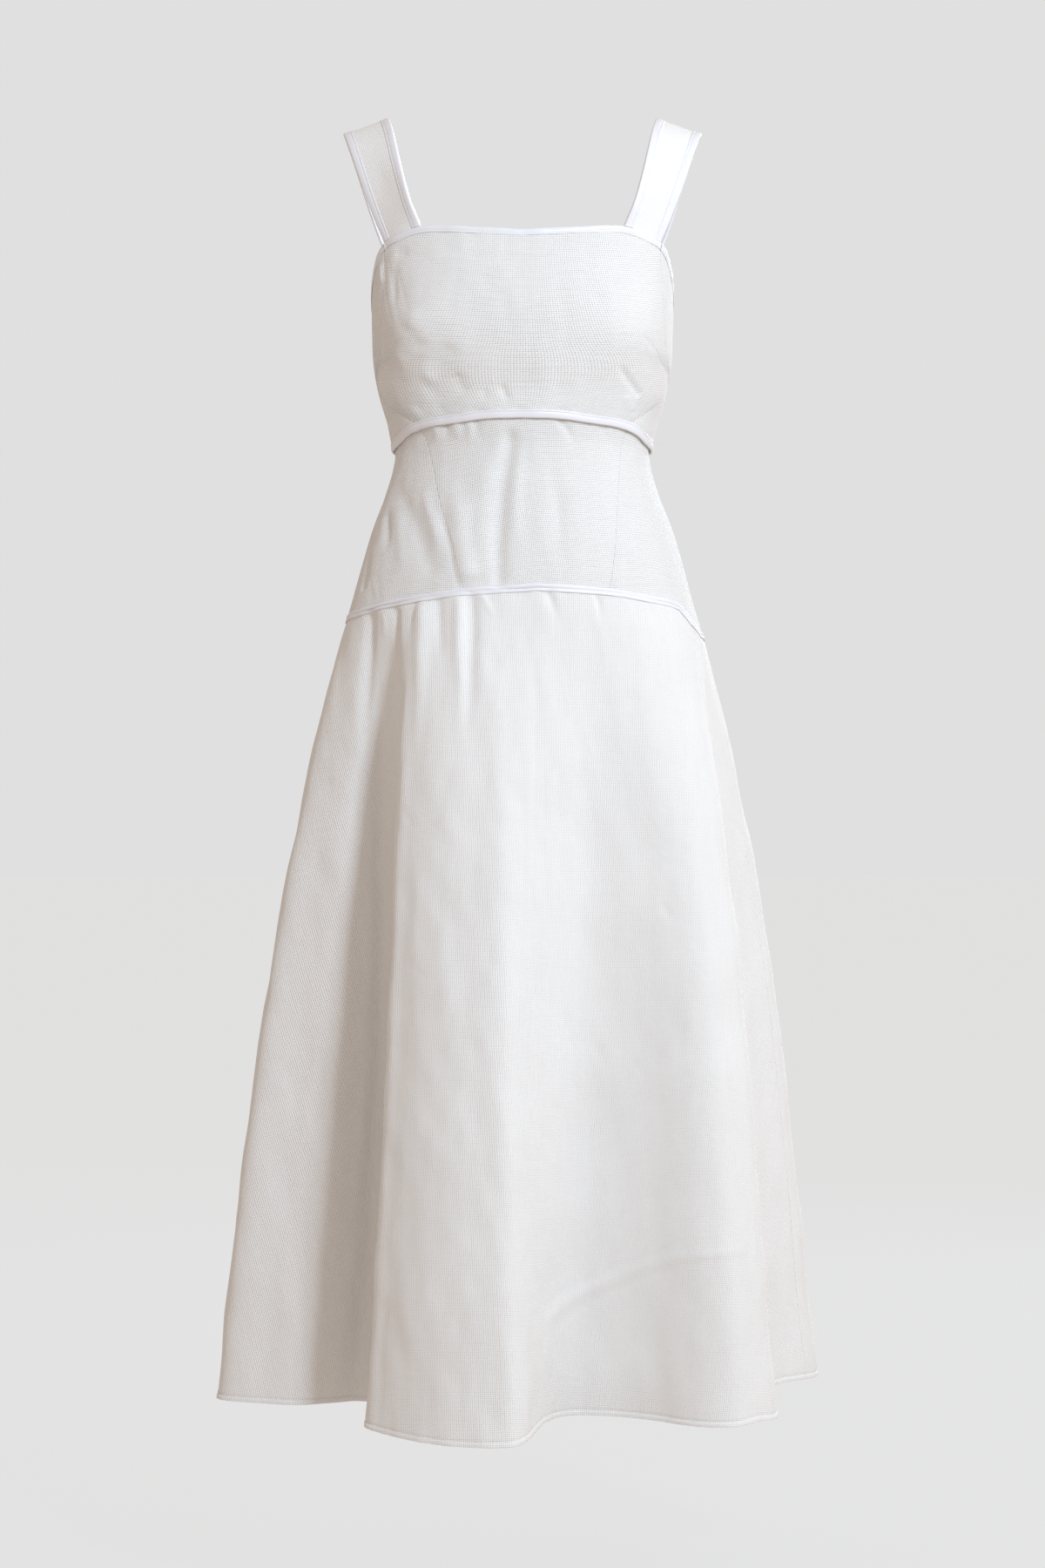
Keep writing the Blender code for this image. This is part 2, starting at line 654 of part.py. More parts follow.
def along_edge(edge, stretches):
    """Places on an edge, right round the body, from stretches of angles that follow each other."""
    angles = stretches[0] + [angle for stretch in stretches[1:] for angle in stretch[1:]]
    return [(angle, edge(angle)) for angle in angles]


def make_bindings(collection, parent):
    names = (
        "neck_binding_back_right",
        "armhole_binding_right",
        "neck_binding_front",
        "armhole_binding_left",
        "neck_binding_back_left",
    )
    top = band(bodice, along_edge(top_edge, TOP_RING), -1, NECK_TRIM_WIDTH)
    bands = []
    first = 0
    for name, piece in zip(names, BODICE):
        last = first + piece.columns
        bands.append((name, [[point.copy() for point in row[first : last + 1]] for row in top]))
        first = last
    bust_line = along_edge(underbust, UNDERBUST_RING)
    bands.append(("underbust_binding", band(bodice, bust_line, 1, UNDERBUST_TRIM_WIDTH)))

    out, half_width = TRIM_GAP + TRIM, YOKE_TRIM_WIDTH / 2
    line = along_edge(yoke, SKIRT_RING)
    above = on_surface(torso, [[(angle, z + half_width) for angle, z in line]], out)
    below = on_surface(skirt, [[(angle, z - half_width) for angle, z in line]], out)
    bands.append(("yoke_binding", above + below))
    for name, points in bands:
        cut_piece(name, drawn_in(points), TRIM, WHITE_SATIN, collection, parent)


# ---------------------------------------------------------------- straps
STRAP_STEPS = 15  # along the strap, between the ends that are sewn in
BINDING_START = 1.09  # where a strap's bindings begin, in control points from its end


def strap_end(angle, distance_down):
    """A point of a strap behind the bodice's edge, or further down at the end of its tuck."""
    return moved_out(bodice, angle, top_edge(angle) - distance_down, -(CLOTH + LAYER_GAP))


def strap_thread(across):
    """Control points of one lengthwise thread of the left strap, from its front end to its back end."""
    slope = math.radians(STRAP_SLOPE)
    middle = []
    for row in STRAP:
        turn = math.radians(row.turn)
        level = Vector((math.cos(turn), math.sin(turn), 0.0)) * math.cos(slope)
        width_axis = level - Vector((0.0, 0.0, math.sin(slope)))
        middle.append(Vector((row.x, row.y, row.z)) + width_axis * (across * STRAP_WIDTH / 2))
    front = strap_angle(across)
    start = [strap_end(front, STRAP_TUCK), strap_end(front, 0.0)]
    end = [strap_end(180.0 - front, 0.0), strap_end(180.0 - front, STRAP_TUCK)]
    return start + middle + end


def strap_grid(threads, marks, out):
    """Rows of points across the left strap, from its back to its front, moved out from it."""
    lines = []
    for across in threads:
        control = strap_thread(across)
        knots = np.arange(len(control))
        lines.append([Vector(through(knots, [p[k] for p in control], m) for k in range(3)) for m in marks])
    rows = [list(row) for row in zip(*lines)]
    moved = []
    for j, row in enumerate(rows):
        ahead, behind = rows[min(j + 1, len(rows) - 1)], rows[max(j - 1, 0)]
        away = (ahead[0] - behind[0] + ahead[-1] - behind[-1]).cross(row[-1] - row[0]).normalized()
        moved.append([point + away * out for point in row])
    return moved


def flipped(rows):
    return [[Vector((-point.x, point.y, point.z)) for point in row[::-1]] for row in rows]


def make_straps(collection, parent):
    last = len(STRAP) + 3
    outside = list(np.linspace(last - BINDING_START, BINDING_START, STRAP_STEPS + 1))
    marks = [last, last - 1] + outside + [1, 0]
    overhang = 2 * TRIM_OVERHANG / STRAP_WIDTH
    inner = (-1 - overhang, TRIM_SHARE - 1)
    outer = (1 - TRIM_SHARE, 1 + overhang)
    out = LAYER_GAP + TRIM
    pieces = [
        ("strap", strap_grid(STRAP_THREADS, marks, 0.0), STRAP_CLOTH, WHITE_CLOTH),
        ("strap_binding_inner", strap_grid(inner, outside, out), TRIM, WHITE_SATIN),
        ("strap_binding_outer", strap_grid(outer, outside, out), TRIM, WHITE_SATIN),
    ]
    for name, rows, thickness, look in pieces:
        cut_piece(name + "_left", rows, thickness, look, collection, parent)
        cut_piece(name + "_right", flipped(rows), thickness, look, collection, parent)


# ---------------------------------------------------------------- zip
SLIDER_WIDTH, SLIDER_DEPTH, SLIDER_LENGTH = 0.0056, 0.0020, 0.0085
SLIDER_TOP = 0.0100  # below the back's top edge
SLIDER_BEVEL = 0.0006
BRIDGE_WIDTH, BRIDGE_BAR, BRIDGE_SPAN = 0.0012, 0.0008, 0.0046
BRIDGE_ROOT = 0.0005  # how deep the bridge goes into the slider's body
EYE_BAR = 0.0010
EYE_CLEARANCE = 0.0003
PULL_WIDTH, PULL_LENGTH, PULL_THICKNESS = 0.0070, 0.0230, 0.0011
PULL_NECK_WIDTH = 0.0044
PULL_EYE_LENGTH = 0.0036
PULL_TIP_STEPS = 14


def back_rows():
    """Heights of the rows of the three back panels, from the zip's top to its end."""
    top, bust, middle = top_edge(180.0), underbust(180.0), yoke(180.0)
    hem_z = hem_height(180.0)
    start, end = top - ZIP_START, top - ZIP_START - ZIP_LENGTH
    heights = [top + (bust - top) * share for share in BODICE_SHARES]
    heights += [midriff_top(180.0) + (middle - midriff_top(180.0)) * share for share in MIDRIFF_SHARES[2:]]
    heights += [middle + (hem_z - middle) * share for share in SKIRT_SHARES[1:]]
    return [start] + [z for z in heights if start > z > end] + [end]


def back(angle, z):
    """The outer face of the back: the torso down to the yoke seam, then the skirt."""
    surface = torso if z > yoke(angle) else skirt
    return surface(angle, z)


def make_zip_tapes(collection, parent):
    """Both tapes, behind the back panels and open along the centre line between them."""
    inside = -(CLOTH + 2 * LAYER_GAP)
    line = [(180.0, z) for z in back_rows()]
    near, far = beside(back, line, -SEAM_GAP / 2), beside(back, line, -ZIP_TAPE_WIDTH)
    rows = on_surface(back, [list(pair) for pair in zip(far, near)], inside)
    cut_piece("zip_tape_left", rows, TAPE, WHITE_TAPE, collection, parent)
    cut_piece("zip_tape_right", flipped(rows), TAPE, WHITE_TAPE, collection, parent)


def box(name, low, high, collection):
    """A box between two corners, as a mesh object with no scale left on it."""
    bpy.ops.mesh.primitive_cube_add(size=1.0)
    obj = bpy.context.active_object
    obj.name = name
    for vertex in obj.data.vertices:
        vertex.co = Vector(lo if c < 0 else hi for c, lo, hi in zip(vertex.co, low, high))
    for old in list(obj.users_collection):
        old.objects.unlink(obj)
    collection.objects.link(obj)
    return obj


def combine(obj, other, operation):
    modifier = obj.modifiers.new(operation.lower(), "BOOLEAN")
    modifier.operation = operation
    modifier.object = other


def hide_helper(obj):
    obj.hide_render = True
    obj.display_type = "WIRE"


def make_zip_head(collection, helpers, parent):
    """The slider at the top of the closed zip, and the pull that hangs from its bridge."""
    slider_z = top_edge(180.0) - SLIDER_TOP - SLIDER_LENGTH / 2
    cloth = max(bodice(180.0, slider_z + dz).y for dz in (-SLIDER_LENGTH / 2, 0.0, SLIDER_LENGTH / 2))
    inner = cloth + LAYER_GAP
    outer = inner + SLIDER_DEPTH
    axis_y = outer + EYE_CLEARANCE + EYE_BAR / 2
    bar_inner = axis_y + EYE_BAR / 2 + EYE_CLEARANCE
    half_width, half_span = BRIDGE_WIDTH / 2, BRIDGE_SPAN / 2

    slider = box(
        "zip_slider",
        (-SLIDER_WIDTH / 2, inner, slider_z - SLIDER_LENGTH / 2),
        (SLIDER_WIDTH / 2, outer, slider_z + SLIDER_LENGTH / 2),
        collection,
    )
    slider.parent = parent
    slider.data.materials.append(finish_for(WHITE_ENAMEL))
    bevel = slider.modifiers.new("rounded", "BEVEL")
    bevel.width = SLIDER_BEVEL
    bevel.segments = 2
    arch = box(
        "zip_bridge",
        (-half_width, outer - BRIDGE_ROOT, slider_z - half_span),
        (half_width, bar_inner + BRIDGE_BAR, slider_z + half_span),
        helpers,
    )
    window = box(
        "zip_bridge_window",
        (-2 * half_width, outer, slider_z - half_span + BRIDGE_BAR),
        (2 * half_width, bar_inner, slider_z + half_span - BRIDGE_BAR),
        helpers,
    )
    combine(arch, window, "DIFFERENCE")
    combine(slider, arch, "UNION")
    hide_helper(arch)
    hide_helper(window)

    hinge = bpy.data.objects.new("zip_pull_hinge", None)
    collection.objects.link(hinge)
    hinge.location = (0.0, axis_y, slider_z)
    hinge.parent = parent
    make_pull(collection, helpers, hinge)


def make_pull(collection, helpers, hinge):
    """The pull, about its own hinge line: a bar under the bridge, two arms and a drop-shaped plate."""
    tip_radius = PULL_WIDTH / 2
    tip_centre = -PULL_LENGTH + tip_radius
    outline = [(PULL_NECK_WIDTH / 2, EYE_BAR / 2)]
    for i in range(PULL_TIP_STEPS + 1):
        turn = math.pi * i / PULL_TIP_STEPS
        outline.append((tip_radius * math.cos(turn), tip_centre - tip_radius * math.sin(turn)))
    outline.append((-PULL_NECK_WIDTH / 2, EYE_BAR / 2))
    curve = bpy.data.curves.new("zip_pull_outline", "CURVE")
    curve.dimensions = "2D"
    curve.fill_mode = "BOTH"
    curve.extrude = PULL_THICKNESS / 2
    spline = curve.splines.new("POLY")
    spline.points.add(len(outline) - 1)
    for point, (x, y) in zip(spline.points, outline):
        point.co = (x, y, 0.0, 1.0)
    spline.use_cyclic_u = True
    shape = bpy.data.objects.new("zip_pull_outline", curve)
    helpers.objects.link(shape)
    bpy.context.view_layer.update()
    graph = bpy.context.evaluated_depsgraph_get()
    mesh = bpy.data.meshes.new_from_object(shape.evaluated_get(graph))
    bpy.data.objects.remove(shape, do_unlink=True)
    mesh.materials.clear()
    bm = bmesh.new()
    bm.from_mesh(mesh)
    bmesh.ops.remove_doubles(bm, verts=bm.verts, dist=1e-6)
    for vertex in bm.verts:
        vertex.co = Vector((vertex.co.x, -vertex.co.z, vertex.co.y))
    bmesh.ops.recalc_face_normals(bm, faces=bm.faces)
    bm.to_mesh(mesh)
    bm.free()
    pull = bpy.data.objects.new("zip_pull", mesh)
    collection.objects.link(pull)
    mesh.materials.append(finish_for(WHITE_ENAMEL))

    arm_inside = BRIDGE_WIDTH / 2 + 2 * EYE_CLEARANCE
    eye = box(
        "zip_pull_eye",
        (-arm_inside, -PULL_THICKNESS, -PULL_EYE_LENGTH),
        (arm_inside, PULL_THICKNESS, -EYE_BAR / 2),
        helpers,
    )
    combine(pull, eye, "DIFFERENCE")
    hide_helper(eye)
    eye.parent = pull.parent = hinge


# ---------------------------------------------------------------- the dress
def main():
    clear_scene()
    collection = new_collection("sundress")
    helpers = new_collection("sundress_helpers", hidden=True)
    root = bpy.data.objects.new("sundress_origin", None)
    collection.objects.link(root)
    make_bodice(collection, root)
    make_midriff(collection, root)
    make_skirt(collection, root)
    make_straps(collection, root)
    make_bindings(collection, root)
    make_zip_tapes(collection, root)
    make_zip_head(collection, helpers, root)


main()
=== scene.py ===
"""The looks of a white midi sundress that hangs filled out from its two straps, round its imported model.

Metres, +Z up. The front faces -Y and the wearer's left is +X. The body's surfaces are the same as the
solids': a place on them is an angle round the body, 0 at the centre front and 180 at the centre back, and a
height z. Each panel of cloth is a thin shell on its solid's outer face, with its own creases, seams and
puckers moved out of or into that face, and a map of its flat cut that the weave follows.
"""

import math
from collections import namedtuple

import bpy
import numpy as np
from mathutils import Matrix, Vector


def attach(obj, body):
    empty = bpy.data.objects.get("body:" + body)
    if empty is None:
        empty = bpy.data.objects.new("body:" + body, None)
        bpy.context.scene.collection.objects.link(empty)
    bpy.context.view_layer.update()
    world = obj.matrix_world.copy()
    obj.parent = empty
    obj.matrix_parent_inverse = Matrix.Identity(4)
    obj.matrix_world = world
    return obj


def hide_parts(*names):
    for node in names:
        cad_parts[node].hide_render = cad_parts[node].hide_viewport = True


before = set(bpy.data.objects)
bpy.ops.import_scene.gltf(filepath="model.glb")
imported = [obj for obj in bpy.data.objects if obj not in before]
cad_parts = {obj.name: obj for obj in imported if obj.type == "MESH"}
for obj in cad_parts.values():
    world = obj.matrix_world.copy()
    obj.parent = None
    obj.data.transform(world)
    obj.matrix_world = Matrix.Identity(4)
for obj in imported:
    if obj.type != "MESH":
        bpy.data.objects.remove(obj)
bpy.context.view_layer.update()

# ---------------------------------------------------------------- sizes
CLOTH = 0.0011  # one layer of the cotton
TURNING = 0.0021  # cloth with its seam allowance or hem turned in behind it
STRAP_CLOTH = 0.0020  # the straps are double
WALL = 0.0015  # the solids' cloth
TAPE = 0.0006
SEAM_GAP = 0.0001  # between two panels at their seam
LAYER_GAP = 0.0004  # between one layer and the next behind it
ALLOWANCE = 0.010  # how far a seam allowance reaches in from its seam
HEM_DEPTH = 0.0060  # of the cloth turned up

STRAP_WIDTH = 0.045
STRAP_SLOPE = 19.0  # degrees that a strap falls away to its outer side
STRAP_INNER, STRAP_OUTER = 36.5, 62.0  # angles of its edges where it meets the bodice
STRAP_TUCK = 0.009  # how far its ends reach down behind the bodice

NECK_TRIM_WIDTH = 0.0062
STRAP_TRIM_WIDTH = 0.0080
UNDERBUST_TRIM_WIDTH = 0.0076
YOKE_TRIM_WIDTH = 0.0072

BODICE_LIFT, BODICE_LIFT_HEIGHT = 0.0025, 0.030  # how far the bodice's lower edge stands off, and how high up
MIDRIFF_TUCK = 0.005  # how far the midriff reaches up behind it

CUP_FULLNESS = 0.008  # added to the torso at the middle of each cup
CUP_ANGLE, CUP_SPREAD = 40.0, 19.0
CUP_HEIGHT, CUP_RISE = -0.207, 0.042

# The torso's cross-sections: half width, depth in front of and behind the side line, superellipse power.
Section = namedtuple("Section", "z half_width front back power")
TORSO = [
    Section(-0.060, 0.1430, 0.080, 0.094, 2.60),
    Section(-0.097, 0.1455, 0.091, 0.100, 2.60),
    Section(-0.130, 0.1460, 0.102, 0.106, 2.50),
    Section(-0.165, 0.1460, 0.111, 0.108, 2.40),
    Section(-0.200, 0.1455, 0.114, 0.106, 2.35),
    Section(-0.235, 0.1435, 0.110, 0.101, 2.30),
    Section(-0.262, 0.1385, 0.104, 0.096, 2.20),
    Section(-0.290, 0.1300, 0.099, 0.091, 2.15),
    Section(-0.315, 0.1230, 0.096, 0.089, 2.10),
    Section(-0.330, 0.1250, 0.097, 0.091, 2.10),
    Section(-0.357, 0.1330, 0.102, 0.098, 2.10),
    Section(-0.382, 0.1420, 0.107, 0.107, 2.10),
    Section(-0.407, 0.1500, 0.112, 0.116, 2.15),
    Section(-0.433, 0.1570, 0.116, 0.123, 2.20),
    Section(-0.458, 0.1640, 0.119, 0.128, 2.20),
    Section(-0.483, 0.1715, 0.123, 0.132, 2.20),
    Section(-0.520, 0.1820, 0.128, 0.138, 2.20),
]

# Heights of the three edges that run round the body, as (angle from the centre front, z).
TOP_EDGE = [
    (0.0, -0.1125), (14.0, -0.1100), (36.5, -0.1083), (50.0, -0.1140), (62.0, -0.1210),
    (69.0, -0.1295), (79.0, -0.1500), (89.0, -0.1700), (98.0, -0.1775), (107.0, -0.1640),
    (113.0, -0.1420), (118.0, -0.1240), (130.0, -0.1160), (143.5, -0.1130), (180.0, -0.1150),
]
UNDERBUST = [
    (0.0, -0.2895), (14.0, -0.2902), (28.0, -0.2935), (40.0, -0.2955), (50.0, -0.2985),
    (60.0, -0.3035), (68.0, -0.3085), (90.0, -0.3140), (130.0, -0.3150), (180.0, -0.3130),
]
YOKE = [
    (-180.0, -0.4960), (-130.0, -0.4880), (-94.0, -0.4760), (-69.0, -0.4722), (-52.0, -0.4655),
    (-35.0, -0.4600), (-17.3, -0.4546), (4.0, -0.4500), (27.5, -0.4540), (44.0, -0.4595),
    (56.0, -0.4625), (62.5, -0.4660), (69.0, -0.4800), (78.0, -0.4910), (95.0, -0.4935),
    (130.0, -0.4960), (180.0, -0.4960),
]

# Seams that run down, as places (angle, z) on the body from top to bottom.
BODICE_FRONT_SEAM = [
    (62.0, -0.1210), (61.5, -0.1420), (62.8, -0.1760), (65.0, -0.2060), (70.0, -0.2280),
    (77.0, -0.2400), (80.0, -0.2510), (78.0, -0.2620), (71.0, -0.2720), (62.0, -0.2800),
    (53.0, -0.2880), (46.0, -0.2965),
]
BODICE_BACK_SEAM = [(118.0, -0.1240), (114.0, -0.2100), (108.0, -0.3150)]
MIDRIFF_FRONT_SEAM_LEFT = [
    (51.0, -0.3000), (48.0, -0.3250), (41.0, -0.3650), (32.5, -0.4200), (27.5, -0.4540),
]
MIDRIFF_FRONT_SEAM_RIGHT = [
    (-49.5, -0.3000), (-45.5, -0.3220), (-34.0, -0.3700), (-24.5, -0.4100), (-17.3, -0.4546),
]
MIDRIFF_SIDE_SEAM = [(86.0, -0.3130), (85.0, -0.3800), (85.0, -0.4300), (86.0, -0.4915)]

# The hem from above, in the order of the angles that its folds leave the yoke at. Growth says how soon a fold
# shows on its way down: at 1 it grows evenly, and at 3 it is full grown half way down.
HemPoint = namedtuple("HemPoint", "fold angle x y z growth")
HEM = [HemPoint(*row) for row in (
    ("right back valley", -118.0, -0.232, 0.150, -1.222, 1.3),
    ("right back crest", -103.0, -0.286, 0.086, -1.225, 1.6),
    ("right corner", -88.0, -0.2965, 0.016, -1.2265, 2.2),
    ("right panel turn", -80.0, -0.289, -0.010, -1.2262, 2.6),
    ("right panel", -71.0, -0.254, -0.027, -1.2265, 2.75),
    ("right panel crest", -63.0, -0.214, -0.040, -1.2265, 2.75),
    ("right panel end", -56.5, -0.1835, -0.030, -1.226, 2.6),
    ("deep valley", -50.0, -0.156, -0.018, -1.2262, 2.4),
    ("deep valley foot", -46.0, -0.13, -0.036, -1.2258, 2.2),
    ("front crest wall", -41.5, -0.1365, -0.105, -1.2255, 2.0),
    ("front crest edge", -36.5, -0.1445, -0.165, -1.2262, 2.0),
    ("front crest turn", -31.5, -0.1300, -0.188, -1.2282, 2.0),
    ("front crest slope", -26.0, -0.1070, -0.212, -1.2300, 1.7),
    ("front crest start", -20.0, -0.0790, -0.230, -1.2318, 1.5),
    ("front crest", -13.0, -0.0430, -0.241, -1.2328, 1.3),
    ("front crest end", -6.0, -0.0063, -0.2415, -1.2318, 1.3),
    ("front crest lip", -2.2, 0.0034, -0.228, -1.2296, 1.2),
    ("centre step", 4.0, 0.0125, -0.190, -1.2268, 1.0),
    ("centre valley start", 10.5, 0.0220, -0.150, -1.2246, 1.0),
    ("centre valley rise", 15.5, 0.0350, -0.124, -1.2240, 1.0),
    ("centre valley", 19.5, 0.0505, -0.113, -1.2240, 1.0),
    ("centre valley slope", 24.0, 0.0733, -0.1155, -1.2242, 1.0),
    ("centre valley end", 28.5, 0.0975, -0.1225, -1.2248, 1.0),
    ("left crest foot", 33.0, 0.1215, -0.133, -1.2256, 1.0),
    ("left crest start", 39.5, 0.1490, -0.152, -1.2268, 1.0),
    ("left crest rise", 44.5, 0.1704, -0.162, -1.2274, 1.1),
    ("left crest", 50.0, 0.1950, -0.164, -1.2270, 1.2),
    ("left crest end", 57.0, 0.2180, -0.146, -1.2245, 1.3),
    ("left crest edge", 63.5, 0.2385, -0.108, -1.2262, 1.3),
    ("left valley wall", 67.5, 0.2350, -0.040, -1.2255, 1.3),
    ("left valley", 72.0, 0.2280, 0.030, -1.2245, 1.3),
    ("left back turn", 77.0, 0.2480, 0.073, -1.2243, 1.3),
    ("left corner", 88.0, 0.2930, 0.126, -1.2238, 1.3),
    ("left back crest", 98.0, 0.2850, 0.176, -1.2240, 1.3),
    ("left back slope", 108.0, 0.2440, 0.202, -1.2225, 1.3),
    ("left back valley", 120.0, 0.1930, 0.186, -1.2200, 1.3),
    ("left rear crest", 137.0, 0.1400, 0.246, -1.2240, 1.3),
    ("left rear slope", 150.0, 0.0840, 0.262, -1.2240, 1.3),
    ("centre back", 168.0, 0.0380, 0.205, -1.2200, 1.3),
    ("centre back right", 190.0, -0.0340, 0.203, -1.2200, 1.3),
    ("right rear crest", 209.0, -0.0900, 0.266, -1.2250, 1.3),
    ("right rear slope", 224.0, -0.1500, 0.252, -1.2240, 1.3),
)]
# The hem without its folds, and how the skirt flares down to it, as factors of t, t squared and t cubed.
# Here t is the share of the way down.
HEM_HALF_WIDTH, HEM_FRONT, HEM_BACK, HEM_POWER = 0.297, 0.185, 0.215, 2.2
FLARE = (1.75, -1.20, 0.45)
SOFT_START = 0.01  # share of the skirt's length in which its folds set in under the yoke

# A strap's centre line on the wearer's left. Turn is the angle that its width makes with the X axis.
StrapPoint = namedtuple("StrapPoint", "x y z turn")
STRAP = [
    StrapPoint(0.1237, -0.0655, -0.0895, 38.0),
    StrapPoint(0.1345, -0.0590, -0.0550, 29.0),
    StrapPoint(0.1450, -0.0360, -0.0180, 14.0),
    StrapPoint(0.1510, 0.0000, 0.0000, 0.0),
    StrapPoint(0.1450, 0.0370, -0.0180, -14.0),
    StrapPoint(0.1350, 0.0620, -0.0550, -29.0),
    StrapPoint(0.1245, 0.0705, -0.0900, -38.0),
]

ZIP_LENGTH = 0.435
ZIP_TAPE_WIDTH = 0.012
ZIP_START = 0.0075  # below the top edge
ZIP_ROWS, ZIP_STEP = 221, 0.0015  # of a tape's grid: rows down, and from point to point across
COIL_PITCH, COIL_RADIUS, COIL_WIRE = 0.0014, 0.0011, 0.0003
COIL_WIDER = 1.6  # the coil's width against its depth
COIL_STEPS = 8  # points a turn
COIL_GAP = 0.0002  # between the coil and the tapes

# The eye of the camera, which the creases' places are seen from.
EYE_DISTANCE = 3.75  # in front of the plane Y = 0
EYE_HEIGHT = -0.634
VIEW_HEIGHT = 1.512  # of the plane Y = 0 that the picture takes in

